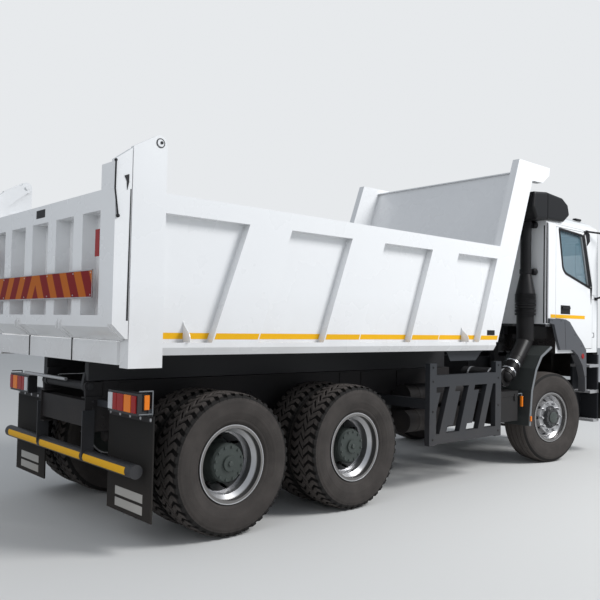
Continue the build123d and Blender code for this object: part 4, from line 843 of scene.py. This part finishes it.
class TIPPER_OT_lamps(bpy.types.Operator):
    """Lenses, rims, side markers and blank plates of the lamps at both ends"""
    bl_idname = "tipper.lamps"
    bl_label = "Lamps"

    def execute(self, context):
        case = Paint("lamp_cases", (0.02, 0.02, 0.022), 0.4)
        front = case.x.above(0.0)
        case.feed("Base Color", case.mix(front, case.colour, (0.72, 0.74, 0.77)))
        case.feed("Roughness", 0.4 - front * 0.32)
        coat(["lamps"], case)
        for colour in ("amber", "red", "clear"):
            rows = [(-0.821, -0.809, y0, y1, 0.982, 1.104) for kind, y0, y1 in LENSES if kind == colour]
            bits(f"rear_lenses_{colour}", "chassis", colour, rows, bevel=0.004)
        bits("side_markers", "chassis", "amber", [(-0.762, -0.722, 1.190, 1.203, 1.006, 1.108)], bevel=0.003)
        bits("side_marker_holders", "chassis", "black", [(-0.772, -0.712, 1.188, 1.195, 0.996, 1.118)])
        bits("lamp_cages", "chassis", "edge", bevel=0.0, rods=[
            ([(-0.80, 1.192, 1.135), (-0.70, 1.205, 1.135), (-0.70, 1.205, 0.975), (-0.80, 1.192, 0.975)], 0.005)])
        bits("flap_plates", "chassis", "plate", [(-0.7145, -0.711, 0.72, 1.12, z, z + 0.062) for z in (0.255, 0.338)])
        bits("flap_bolts", "chassis", "steel", bevel=0.0, discs=[
            ((-0.712, y, 0.935), BACK, 0.013, 0.006) for y in (0.62, 0.77, 0.92, 1.07, 1.21)])
        bits("flap_straps", "chassis", "iron", [(-0.716, -0.711, 0.60, 1.23, 0.915, 0.955)])
        bits("cross_tube", "bed", "steel", sides=(1,), bevel=0.0,
             rods=[([(-0.846, -0.10, 1.150), (-0.846, 0.74, 1.150)], 0.014)])
        bits("headlamp_bowls", "chassis", "chrome", bevel=0.0, discs=[
            ((BUMPER_FACE - 0.0035, y, HEADLAMP_Z), AHEAD, 0.054, 0.003) for y in HEADLAMPS])
        bits("headlamp_lenses", "chassis", "clear", bevel=0.0, discs=[
            ((BUMPER_FACE - 0.0015, y, HEADLAMP_Z), AHEAD, 0.030, 0.012) for y in HEADLAMPS])
        stock = Stock()
        for name, side in SIDES:
            stock.hoop(rectangle(0.62, 0.88, 0.62, 0.78), 0.022, 0.006, (0.03, 0.02),
                       lambda p: (at_station(BUMPER_FACE), side * p[0], p[1]), (0.006, 0, 0))
        stock.make("headlamp_rims", "chassis", "black", 0.0015)
        bits("fog_lamps", "chassis", "clear", discs=[(FOG_LAMP, AHEAD, 0.045, 0.008)], bevel=0.0)
        bits("fog_lamp_rims", "chassis", "black", rings=[(FOG_LAMP, AHEAD, 0.045, 0.054, 0.010)], bevel=0.0)
        bits("number_plate_front", "chassis", "plate", sides=(1,),
             boxes=[(BUMPER_FACE, BUMPER_FACE + 0.005, -0.26, 0.26, 0.56, 0.67)])
        ridges = [0.33 + 0.045 * n for n in range(17)]
        bits("bumper_treads", "chassis", "black", [(6.10, 6.34, y, y + 0.012, 0.914, 0.921) for y in ridges])
        bits("tow_eyes", "chassis", "iron", rings=[((6.397, 0.40, 0.52), UP, 0.018, 0.034, 0.024)], bevel=0.001)
        return {"FINISHED"}


AXLES = (0.0, 1.35)
BOLT_STATIONS = (-0.76, -0.68, -0.52, -0.44, 0.56, 0.62, 0.73, 0.79, 1.96, 2.04,
                 2.28, 2.36, 2.86, 2.94, 3.52, 3.60, 4.10, 4.20, 5.70, 5.78)
# Each shaft joint: station, height, slope of the shaft, radius
SHAFT_JOINTS = [(1.59, 0.562, 0.09, 0.078), (1.66, 0.570, 0.09, 0.070), (0.24, 0.559, 0.0, 0.072),
                (1.13, 0.548, 0.0, 0.070), (3.60, 0.795, 0.09, 0.075)]
HOIST_LIFT, BARREL_LENGTH = math.radians(14.216), 1.270


class TIPPER_OT_chassis(bpy.types.Operator):
    """Bolts, clamps, brake chambers, straps and pipes on the chassis"""
    bl_idname = "tipper.chassis"
    bl_label = "Chassis"

    def execute(self, context):
        bits("frame_bolts", "chassis", "iron", bevel=0.0, discs=[
            ((x, FRAME_SIDE, z), OUT, 0.012, 0.010) for x in BOLT_STATIONS for z in (0.80, 0.87, 0.94, 0.99)])
        bits("subframe_plates", "chassis", "frame", [
            (x - 0.07, x + 0.07, FRAME_SIDE, FRAME_SIDE + 0.008, 0.93, 1.135) for x in (-0.48, 2.0, 2.32, 2.90, 3.56)])
        clamps = [(x, 0.350, 0.460, 0.43, 0.668, 0.009) for x in (4.875, 4.905, 4.995, 5.025)]
        clamps += [(x + shift, 0.430, 0.540, 0.47, 0.70, 0.010) for x in AXLES for shift in (-0.055, 0.055)]
        bits("spring_clamps", "chassis", "iron", bevel=0.0, rods=[
            ([(x, y0, z0), (x, y0, z1), (x, y1, z1), (x, y1, z0)], radius) for x, y0, y1, z0, z1, radius in clamps])
        bits("brake_chambers", "chassis", "iron", bevel=0.002,
             boxes=[(x - 0.17, x - 0.04, 0.30, 0.345, 0.575, 0.615) for x in AXLES],
             discs=[((x - 0.14, 0.325, 0.60), BACK, 0.074, 0.085) for x in AXLES]
             + [((x - 0.225, 0.325, 0.60), BACK, 0.060, 0.075) for x in AXLES]
             + [((4.88, 0.60, 0.60), BACK, 0.062, 0.075)],
             rings=[((x - 0.19, 0.325, 0.60), BACK, 0.072, 0.080, 0.014) for x in AXLES])
        hose = [(-0.29, 0.325, 0.62), (-0.34, 0.34, 0.68), (-0.33, 0.38, 0.80), (-0.28, 0.405, 0.86)]
        hoses = [([(axle + x, y, z) for x, y, z in hose], 0.007) for axle in AXLES]
        lines = [([(-0.60, 0.405, z), (1.0, 0.405, z), (1.1, 0.405, z - 0.04), (3.9, 0.405, z - 0.04)], radius)
                 for z, radius in ((0.90, 0.008), (0.875, 0.006))]
        bits("brake_pipes", "chassis", "black", bevel=0.0, rods=hoses + lines)
        bits("shaft_joints", "chassis", "iron", sides=(1,), bevel=0.001, rings=[
            ((x, 0.0, z), (1, 0, slope), 0.040, radius, 0.035) for x, z, slope, radius in SHAFT_JOINTS])
        bits("tank_straps", "chassis", "iron", sides=(LEFT,),
             boxes=[(x, x + 0.045, 0.466, 1.114, 0.476, 1.014) for x in (2.78, 3.34)])
        bits("tank_cap", "chassis", "black", sides=(LEFT,), discs=[((3.46, 0.98, 1.009), UP, 0.048, 0.030)],
             rods=[([(3.44, 0.98, 1.042), (3.48, 0.98, 1.042)], 0.008)])
        bits("air_tank_bands", "chassis", "iron", sides=(RIGHT,), bevel=0.0,
             rings=[((x, 0.70, z), AHEAD, 0.1202, 0.1235, 0.035) for x in (2.76, 3.33) for z in (0.62, 0.89)],
             discs=[((3.00, 0.70, z - 0.122), DOWN, 0.012, 0.02) for z in (0.62, 0.89)])
        bits("battery_lid", "chassis", "black", sides=(RIGHT,), bevel=0.004,
             boxes=[(3.755, 4.185, 0.462, 1.126, 0.842, 0.906), (3.80, 3.84, 1.120, 1.132, 0.79, 0.875),
                    (4.10, 4.14, 1.120, 1.132, 0.79, 0.875)])
        way = (math.cos(HOIST_LIFT), 0, math.sin(HOIST_LIFT))
        collar = (0.20 + BARREL_LENGTH * way[0], 0.0, 0.86 + BARREL_LENGTH * way[2])
        bits("barrel_collar", "hoist_barrel", "iron", sides=(1,), bevel=0.001,
             rings=[(collar, way, 0.0700, 0.0755, 0.056)])
        return {"FINISHED"}


RIM_LINE = [(4.846, 1.400), (4.610, 1.286), (4.495, 1.138), (4.402, 0.892), (4.368, 0.595), (4.362, 0.488)]
# Each cab step: height, station of its ridges, station of its edge strip
STEPS = [(1.17, 5.81, 5.80), (0.83, 5.83, 5.822), (0.45, 5.92, 5.912)]


class TIPPER_OT_guards(bpy.types.Operator):
    """Bolts of the side guards, rims and amber lamps of the front mudguards, and the steps' ridges"""
    bl_idname = "tipper.guards"
    bl_label = "Guards"

    def execute(self, context):
        bits("guard_bolts", "chassis", "iron", bevel=0.0, discs=[
            ((x, 1.2, z), OUT, 0.010, 0.007) for x in (2.484, 3.651) for z in (0.50, 0.78, 1.08, 1.22)])
        outer = [(x - 0.036, z + 0.020 * (z - 0.4)) for x, z in reversed(RIM_LINE)]
        bits("mudguard_rims", "chassis", "edge", plates=[(RIM_LINE + outer, 1.1845, 1.1895)])
        bits("mudguard_lamps", "chassis", "amber", [(4.336, 4.364, 1.184, 1.202, 0.545, 0.604)], bevel=0.003)
        bits("marker_brackets", "chassis", "edge", sides=(RIGHT,), bevel=0.0,
             rods=[([(4.15, 1.118, 0.868), (4.27, 1.118, 0.868), (4.27, 1.118, 0.835)], 0.006)])
        bits("bracket_markers", "chassis", "amber", sides=(RIGHT,), bevel=0.003,
             boxes=[(4.256, 4.284, 1.105, 1.131, 0.715, 0.838)])
        steps = Paint("step_finish", (0.016, 0.017, 0.02), 0.5, Specular_IOR_Level=0.3)
        upper, central, lower = (steps.z.band(z - 0.032, z + 0.002) for z, ridges, strip in STEPS)
        tread = upper + central + lower
        steps.feed("Base Color", steps.mix(tread, steps.colour, (0.50, 0.50, 0.51)))
        steps.feed("Metallic", tread * 0.6)
        coat(["cab_steps"], steps)
        rows = [(x, 6.055, 0.975 + 0.042 * n, 0.983 + 0.042 * n, z - 0.002, z + 0.006)
                for z, x, strip in STEPS for n in range(5)]
        rows += [(x, 6.062, 1.190, 1.194, z - 0.034, z + 0.007) for z, ridges, x in STEPS]
        bits("step_ridges", "chassis", "steel", rows, bevel=0.001)
        return {"FINISHED"}


# Cab

WINDOW = [(5.16, 2.40), (5.225, 2.34), (5.875, 2.186), (5.675, 2.86), (5.06, 2.89)]
WIPERS = (-0.88, -0.25, 0.30)


def screen_x(z):
    """The station of the windscreen's outer face at a height."""
    return 6.360 - (z - SCREEN_FOOT) * SCREEN_LEAN


class TIPPER_OT_cab(bpy.types.Operator):
    """Rubbers, strips, handles, lamps, wipers and mirror glasses of the cab"""
    bl_idname = "tipper.cab"
    bl_label = "Cab"

    def execute(self, context):
        for name, side in SIDES:
            door = f"door_{name}"
            stock = Stock()
            stock.hoop(WINDOW, 0.014, 0.016, (0.035, 0.03),
                       lambda p: (at_station(p[0]), side * DOOR_SIDE, p[1]), (0, side * 0.006, 0))
            stock.make(f"window_rubber_{name}", door, "black", 0.0015)
            bits(f"door_front_strip_{name}", door, "black", sides=(side,), bevel=0.001, plates=[
                ([(5.886, 2.196), (5.948, 2.205), (5.722, 2.898), (5.690, 2.872)], DOOR_SIDE, 1.1535),
                ([(5.888, 2.190), (5.948, 2.200), (5.936, 2.080), (5.918, 1.965)], DOOR_SIDE, 1.1528)])
            bits(f"door_handle_{name}", door, "black", sides=(side,), bevel=0.004, boxes=[
                (5.114, 5.352, CAB_SIDE, 1.1535, 1.822, 1.932), (5.135, 5.335, 1.153, 1.169, 1.886, 1.912)])
            bits(f"door_lining_{name}", door, "arch", sides=(side,), bevel=0.006, boxes=[
                (5.03, 5.90, 1.090, 1.1052, 1.80, 2.15), (5.16, 5.72, 1.035, 1.092, 1.955, 1.995),
                (5.78, 5.86, 1.075, 1.092, 1.98, 2.03)])
        bits("corner_strips", "cab", "black", [
            (4.754, 4.773, CAB_SIDE, 1.156, 1.700, 2.935), (4.744, 4.7502, 1.118, 1.132, 1.700, 2.90)])
        bits("corner_trims", "cab", "steel", [(4.776, 4.802, CAB_SIDE, 1.1555, 1.700, 2.935)])
        bits("mirror_brackets", "cab", "black", plates=[
            ([(5.700, 2.928), (5.852, 2.905), (5.868, 2.800), (5.790, 2.735), (5.770, 2.850)], CAB_SIDE, 1.160)])
        bits("drip_rails", "cab", "cab", bevel=0.0, rods=[
            ([(4.99, 1.149, 2.945), (5.66, 1.149, 2.940), (5.735, 1.149, 2.918), (5.965, 1.149, 2.225)], 0.006)])
        bits("roof_markers", "cab", "black", [(5.735, 5.885, 0.975, 1.030, 3.082, 3.112)], bevel=0.010)
        bits("roof_hatch", "cab", "cab", [(5.24, 5.80, -0.30, 0.30, 3.08, 3.132)], sides=(1,), bevel=0.012)
        bits("roof_lamps", "cab", "amber", bevel=0.006,
             boxes=[(6.02, 6.06, y - 0.04, y + 0.04, 3.022, 3.050) for y in (0.0, 0.30, 0.62)])
        stock = Stock()
        stock.hoop(rectangle(-0.96, 0.96, 2.0, 2.8), 0.022, 0.014, (0.05, 0.04),
                   lambda p: (at_station(screen_x(p[1]) - 0.003), p[0], p[1]), (0.009, 0, 0.001))
        stock.hoop(rectangle(-0.42, 0.42, 2.25, 2.70), 0.018, 0.012, (0.04, 0.03),
                   lambda p: (at_station(4.751), p[0], p[1]), (-0.007, 0, 0))
        stock.make("screen_rubbers", "cab", "black", 0.0015)
        arms = [([(6.372, y, 1.93), (screen_x(2.02) + 0.022, y, 2.02), (screen_x(2.07) + 0.022, y + 0.55, 2.07)], 0.007)
                for y in WIPERS]
        blades = [([(screen_x(2.045) + 0.016, y + 0.12, 2.035), (screen_x(2.08) + 0.016, y + 0.60, 2.085)], 0.006)
                  for y in WIPERS]
        bits("wipers", "cab", "black", sides=(1,), bevel=0.001, rods=arms + blades,
             discs=[((6.366, y, 1.93), AHEAD, 0.018, 0.016) for y in WIPERS])
        bits("front_hatch_seam", "cab", "black", sides=(1,), bevel=0.0,
             boxes=border(6.3845, 6.3865, 0.86, 1.080, 1.861, 0.006, over=0.003))
        bits("front_handles", "cab", "black", bevel=0.0, rods=[
            ([(6.384, 0.55, 1.90), (6.41, 0.55, 1.90), (6.41, 0.80, 1.90), (6.384, 0.80, 1.90)], 0.010)])
        bits("arch_reflectors", "cab", "red", discs=[((5.628, ARCH_SIDE, 1.287), OUT, 0.034, 0.007)], bevel=0.0)
        bits("arch_seams", "cab", "black", bevel=0.0, plates=[
            ([(5.155, 1.735), (5.159, 1.735), (5.189, 1.378), (5.185, 1.378)], ARCH_SIDE, 1.1862)])
        bits("arch_screws", "cab", "black", bevel=0.0, discs=[
            ((x, ARCH_SIDE, z), OUT, 0.007, 0.003)
            for x, z in ((4.84, 1.735), (5.06, 1.735), (5.42, 1.56), (5.60, 1.42), (5.72, 1.02))])
        bits("mirror_glasses", "cab", "chrome", bevel=0.001, boxes=[
            (6.1265, 6.1305, 1.270, 1.420, z0, z1) for z0, z1 in ((2.40, 2.79), (2.215, 2.375))])
        bits("mirror_rims", "cab", "black", [(6.1285, 6.1345, 1.258, 1.432, 2.19, 2.81)], bevel=0.004)
        return {"FINISHED"}


INTAKE_X, INTAKE_Y = 4.62, 0.95
CLAMP_HEIGHTS = (2.33, 2.91)


class TIPPER_OT_intake(bpy.types.Operator):
    """Rings, clamps and the bright hose clips of the air intake"""
    bl_idname = "tipper.intake"
    bl_label = "Intake"

    def execute(self, context):
        x, y = INTAKE_X, INTAKE_Y
        for name, body, foot, count in (("lower", "chassis", 1.796, 6), ("upper", "cab", 1.912, 9)):
            bits(f"intake_rings_{name}", body, "black", sides=(RIGHT,), bevel=0.0, smooth=20.0,
                 rings=[((x, y, foot + 0.0165 * n), UP, 0.108, 0.1275, 0.006) for n in range(count)])
        bits("intake_clamps", "cab", "black", sides=(RIGHT,), bevel=0.002,
             rings=[((x, y, z - 0.028), UP, 0.0645, 0.0735, 0.056) for z in CLAMP_HEIGHTS],
             boxes=[(x + 0.045, x + 0.1295, y - 0.05, y + 0.06, z - 0.03, z + 0.03) for z in CLAMP_HEIGHTS],
             discs=[((x + 0.088, y + 0.045, z), OUT, 0.042, 0.055) for z in CLAMP_HEIGHTS])
        start, end = Vector((4.39, 0.970, 1.26)), Vector((4.15, 0.985, 1.07))
        way = (end - start).normalized()
        bits("hose_clips", "chassis", "chrome", sides=(RIGHT,), bevel=0.001,
             rings=[(start + way * along, way, 0.088, 0.0975, 0.020) for along in (0.10, 0.235)])
        bits("hose_folds", "chassis", "black", sides=(RIGHT,), bevel=0.0, smooth=20.0,
             rings=[(start + way * (0.13 + 0.0145 * n), way, 0.086, 0.0965, 0.007) for n in range(7)])
        bits("filter_bands", "chassis", "steel", sides=(RIGHT,), bevel=0.0,
             rings=[((4.13, y, 1.05), OUT, 0.1045, 0.108, 0.022) for y in (0.52, 0.80, 0.965)],
             discs=[((4.13, 1.0, 1.05), OUT, 0.020, 0.02)])
        return {"FINISHED"}


# Cab interior

CLOTH_FRAMES = 20
SEAM_WIDTH, SEAM_DEPTH = 0.009, 0.006
SEAT_Y = 0.62


def evaluated(piece):
    return piece.evaluated_get(bpy.context.evaluated_depsgraph_get())


def swell(piece, held, cap):
    """Blows a closed form up as cloth under pressure, holding what lies under the height held."""
    mesh = piece.data
    rest = [v.co.copy() for v in mesh.vertices]
    group = piece.vertex_groups.new(name="held")
    group.add([v.index for v in mesh.vertices if v.co.z < held], 1.0, "REPLACE")
    cloth = piece.modifiers.new("cloth", "CLOTH")
    cloth.settings.quality = 5
    cloth.settings.use_pressure = True
    cloth.settings.uniform_pressure_force = 4.0
    cloth.settings.effector_weights.gravity = 0.0
    cloth.settings.vertex_group_mass = "held"
    cloth.point_cache.frame_start, cloth.point_cache.frame_end = 1, CLOTH_FRAMES
    for step in range(1, CLOTH_FRAMES + 1):
        bpy.context.scene.frame_set(step)
    blown = [v.co.copy() for v in evaluated(piece).data.vertices]
    piece.modifiers.remove(cloth)
    bpy.context.scene.frame_set(1)
    for vertex, old, new in zip(mesh.vertices, rest, blown):
        move = new - old
        vertex.co = old + move * min(1.0, cap / max(move.length, 1e-6))


def pad(name, stock, side, held, seams, cap):
    """A padded piece of a seat: remeshed evenly, blown up, then sewn along its seams."""
    piece = stock.as_object(name)
    even = piece.modifiers.new("even", "REMESH")
    even.mode = "VOXEL"
    even.voxel_size = 0.011
    piece.data = bpy.data.meshes.new_from_object(evaluated(piece))
    piece.modifiers.clear()
    swell(piece, held, cap)
    moves = []
    for vertex in piece.data.vertices:
        ways = seams(abs(vertex.co.y - side * SEAT_Y), vertex.co)
        moves.append(vertex.normal * -sum(math.exp(-(way / SEAM_WIDTH) ** 2) for way in ways) * SEAM_DEPTH)
    for vertex, move in zip(piece.data.vertices, moves):
        vertex.co += move
    piece.data.materials.clear()
    piece.data.materials.append(PAINTS["cloth"].material)
    for polygon in piece.data.polygons:
        polygon.use_smooth = True
    fine = piece.modifiers.new("fine", "SUBSURF")
    fine.levels = fine.render_levels = 1
    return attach(piece, "cab")


CUSHION_FOOT, CUSHION_FIELD, CUSHION_SEWN = 1.668, 0.165, 1.72
BACK_FIELD = 0.16
BACK_OUTLINE = [(5.155, 1.775), (5.262, 1.775), (5.156, 2.385), (5.078, 2.385)]
REST_OUTLINE = [(5.088, 2.42), (5.150, 2.42), (5.142, 2.585), (5.086, 2.585)]


def cushion_seams(across, co):
    """Distances of a point from the cushion's sewn channels."""
    if co.z <= CUSHION_SEWN:
        return []
    return [abs(across - CUSHION_FIELD)] + [abs(co.x - at_station(x)) for x in (5.30, 5.46) if across < CUSHION_FIELD]


def back_seams(across, co):
    """Distances of a point from the sewn channels of the back."""
    return [abs(across - BACK_FIELD)] + [abs(co.z - z) for z in (1.98, 2.18) if across < BACK_FIELD]


def rest_seams(across, co):
    """Distance of a point from the head rest's seams."""
    return [abs(across - 0.095)]


class TIPPER_OT_seats(bpy.types.Operator):
    """Padded seats with sewn channels on black pedestals"""
    bl_idname = "tipper.seats"
    bl_label = "Seats"

    def execute(self, context):
        for name, side in SIDES:
            form = Stock()
            for half, top in ((CUSHION_FIELD, 1.752), (0.248, 1.764)):
                form.box(Vector((at_station(5.165), side * SEAT_Y - half, CUSHION_FOOT)),
                         Vector((at_station(5.635), side * SEAT_Y + half, top)))
            seat = pad(f"seat_cushion_{name}", form, side, 1.675, cushion_seams, 0.018)
            if side == RIGHT:
                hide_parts("seats")
            for kind, outline, half, held, seams, cap in (("seat_back", BACK_OUTLINE, 0.238, 1.79, back_seams, 0.016),
                                                          ("head_rest", REST_OUTLINE, 0.13, 2.43, rest_seams, 0.008)):
                form = Stock()
                form.prism(side_outline(outline, side * SEAT_Y - half), (0, 2 * half, 0))
                pad(f"{kind}_{name}", form, side, held, seams, cap)
        layers = [(5.20, 5.60, 0.19, 1.381, 1.44)]
        layers += [(5.225 + 0.008 * (n % 2), 5.565 - 0.008 * (n % 2), 0.17, 1.44 + 0.02 * n, 1.458 + 0.02 * n)
                   for n in range(9)]
        layers += [(5.17, 5.62, 0.23, 1.62, CUSHION_FOOT)]
        bits("seat_pedestals", "cab", "black", bevel=0.005,
             boxes=[(x0, x1, SEAT_Y - half, SEAT_Y + half, z0, z1) for x0, x1, half, z0, z1 in layers])
        bits("rest_posts", "cab", "steel", bevel=0.0, rods=[
            ([(5.118, SEAT_Y + shift, 2.37), (5.118, SEAT_Y + shift, 2.44)], 0.006) for shift in (-0.06, 0.06)])
        return {"FINISHED"}


CAB_FLOOR = 1.379
PEDALS = (0.42, 0.58, 0.74)


class TIPPER_OT_interior(bpy.types.Operator):
    """Instruments, pedals, lever and linings inside the cab"""
    bl_idname = "tipper.interior"
    bl_label = "Interior"

    def execute(self, context):
        bits("instrument_hood", "cab", "black", [(6.085, 6.235, 0.40, 0.84, 1.925, 2.015)], sides=(LEFT,), bevel=0.012)
        bits("gauges", "cab", "clear", sides=(LEFT,), bevel=0.0, discs=[
            ((6.0855, y, 1.968), BACK, 0.034, 0.003) for y in (0.47, 0.57, 0.67, 0.77)])
        bits("vents", "cab", "arch", sides=(1,), bevel=0.004, boxes=[
            (6.06, 6.078, y, y + 0.15, 1.86, 1.925) for y in (-0.80, -0.42, -0.08, 0.22)])
        bits("console", "cab", "arch", sides=(1,), bevel=0.015, boxes=[
            (5.72, 6.10, -0.17, 0.17, CAB_FLOOR, 1.62), (5.10, 5.72, -0.15, 0.15, CAB_FLOOR, 1.50)])
        bits("gear_lever", "cab", "black", sides=(1,), rods=[([(5.82, 0.06, 1.61), (5.76, 0.07, 1.83)], 0.010)],
             discs=[((5.765, 0.07, 1.815), (-0.26, 0.04, 1.0), 0.026, 0.05)], bevel=0.0)
        bits("pedals", "cab", "iron", sides=(LEFT,), bevel=0.003,
             boxes=[(6.10, 6.115, y, y + 0.07, 1.44, 1.56) for y in PEDALS],
             rods=[([(6.11, y + 0.035, 1.55), (6.20, y + 0.035, 1.74)], 0.009) for y in PEDALS])
        bits("wheel_boss", "cab", "black", sides=(LEFT,), bevel=0.0,
             discs=[((5.905, 0.62, 2.062), (-0.5736, 0, 0.8192), 0.062, 0.022)])
        bits("back_lining", "cab", "arch", sides=(1,), bevel=0.003, boxes=[(4.794, 4.806, *row) for row in (
            (-1.06, -0.46, 1.72, 2.88), (0.46, 1.06, 1.72, 2.88),
            (-0.46, 0.46, 1.72, 2.21), (-0.46, 0.46, 2.74, 2.88))])
        bits("sun_blinds", "cab", "arch", [(6.16, 6.175, 0.25, 0.88, 2.66, 2.80)], bevel=0.006)
        bits("floor_mat", "cab", "flap", [(5.05, 6.20, -1.04, 1.04, CAB_FLOOR, 1.386)], sides=(1,))
        return {"FINISHED"}


class TIPPER_OT_coats(bpy.types.Operator):
    """Paint on every frame piece that keeps its own shape"""
    bl_idname = "tipper.coats"
    bl_label = "Coats"

    def execute(self, context):
        make_paints()
        coats = {slot: paint for paint, slot in reversed(SLOTS.items())}
        coats["rim_silver"] = "steel"
        for part in frame["record"]["subparts"]:
            coat([part["node"]], PAINTS[coats[part["material_slot"]]])
        coat(["cab_shell", "door_right", "door_left"], PAINTS["cab"])
        coat(["front_mudguards"], Paint("mudguard_plastic", (0.036, 0.040, 0.039), 0.6, Specular_IOR_Level=0.3))
        coat(["battery_box"], PAINTS["black"])
        return {"FINISHED"}


# Stage

CAMERA_PLACE = (-5.9592, -5.6149, 1.6207)
CAMERA_YAW, CAMERA_PITCH, CAMERA_ROLL = 0.7325, 0.0347, 0.0199
CAMERA_LENS, CAMERA_SENSOR = 42.83, 36.0
FLOOR_REACH = 60
SKY_LIGHT, SKY_STRENGTH, BACKDROP = (0.86, 0.92, 1.0, 1.0), 0.52, (0.80, 0.82, 0.84, 1.0)
# Each lamp: name, place, size, watts
LIGHTS = [("key", (5.5, -9.5, 10.5), 5.0, 1750.0), ("fill", (-11.0, -3.0, 6.0), 8.0, 180.0)]
LIT_POINT = Vector((0, 0, 1.2))
PICTURE_SIZE = 1200


def camera_matrix():
    """The photograph's camera. Yaw 0 looks along +Y and turns towards +X."""
    turn = Matrix.Rotation(-CAMERA_YAW, 4, "Z") @ Matrix.Rotation(math.pi / 2 + CAMERA_PITCH, 4, "X")
    return Matrix.Translation(CAMERA_PLACE) @ turn @ Matrix.Rotation(CAMERA_ROLL, 4, "Z")


class TIPPER_OT_stage(bpy.types.Operator):
    """Floor, lights, backdrop and camera"""
    bl_idname = "tipper.stage"
    bl_label = "Stage"

    def execute(self, context):
        scene = context.scene
        mesh = bpy.data.meshes.new("floor")
        corners = [(x, y, 0) for x, y in rectangle(-FLOOR_REACH, FLOOR_REACH, -FLOOR_REACH, FLOOR_REACH)]
        mesh.from_pydata(corners, [], [(0, 1, 2, 3)])
        mesh.materials.append(Paint("floor_paint", (0.62, 0.62, 0.61), 0.9).material)
        floor = new_object("floor", mesh)
        world = scene.world = bpy.data.worlds.new("studio")
        world.use_nodes = True
        tree = world.node_tree
        light = tree.nodes["Background"]
        light.inputs[0].default_value = SKY_LIGHT
        light.inputs[1].default_value = SKY_STRENGTH
        backdrop = tree.nodes.new("ShaderNodeBackground")
        backdrop.inputs[0].default_value = BACKDROP
        mix = tree.nodes.new("ShaderNodeMixShader")
        path = tree.nodes.new("ShaderNodeLightPath")
        for start, end in ((path.outputs["Is Camera Ray"], mix.inputs[0]), (light.outputs[0], mix.inputs[1]),
                           (backdrop.outputs[0], mix.inputs[2]),
                           (mix.outputs[0], tree.nodes["World Output"].inputs[0])):
            tree.links.new(start, end)
        for name, place, size, watts in LIGHTS:
            lamp = bpy.data.lights.new(name, "AREA")
            lamp.size = size
            lamp.energy = watts
            holder = new_object(name, lamp)
            holder.location = place
            holder.rotation_euler = (LIT_POINT - Vector(place)).to_track_quat("-Z", "Y").to_euler()
        camera = bpy.data.cameras.new("camera")
        camera.lens = CAMERA_LENS
        camera.sensor_width = CAMERA_SENSOR
        scene.camera = new_object("camera", camera)
        scene.camera.matrix_world = camera_matrix()
        scene.render.resolution_x = scene.render.resolution_y = PICTURE_SIZE
        scene.view_settings.view_transform = "Standard"
        return {"FINISHED"}


OPERATORS = [TIPPER_OT_coats, TIPPER_OT_tyres, TIPPER_OT_wheels, TIPPER_OT_tape, TIPPER_OT_tail, TIPPER_OT_bed,
             TIPPER_OT_lamps, TIPPER_OT_chassis, TIPPER_OT_guards, TIPPER_OT_cab, TIPPER_OT_intake, TIPPER_OT_seats,
             TIPPER_OT_interior, TIPPER_OT_stage]


class TIPPER_PT_panel(bpy.types.Panel):
    """Lists the pieces that dress the truck"""
    bl_label = "Tipper Truck"
    bl_idname = "TIPPER_PT_panel"
    bl_space_type = "VIEW_3D"
    bl_region_type = "UI"
    bl_category = "Tipper"

    def draw(self, context):
        for group in (context.scene.tipper_colours, context.scene.tipper_sizes):
            for field in group.bl_rna.properties:
                if field.identifier not in ("rna_type", "name"):
                    self.layout.prop(group, field.identifier)
        for operator in OPERATORS:
            self.layout.operator(operator.bl_idname)


CLASSES = [TipperColours, TipperSizes, *OPERATORS, TIPPER_PT_panel]


def register():
    for made in CLASSES:
        bpy.utils.register_class(made)
    bpy.types.Scene.tipper_colours = bpy.props.PointerProperty(type=TipperColours)
    bpy.types.Scene.tipper_sizes = bpy.props.PointerProperty(type=TipperSizes)


def unregister():
    del bpy.types.Scene.tipper_sizes
    del bpy.types.Scene.tipper_colours
    for made in reversed(CLASSES):
        bpy.utils.unregister_class(made)


def main():
    register()
    for operator in OPERATORS:
        group, call = operator.bl_idname.split(".")
        getattr(getattr(bpy.ops, group), call)()


if __name__ == "__main__":
    main()
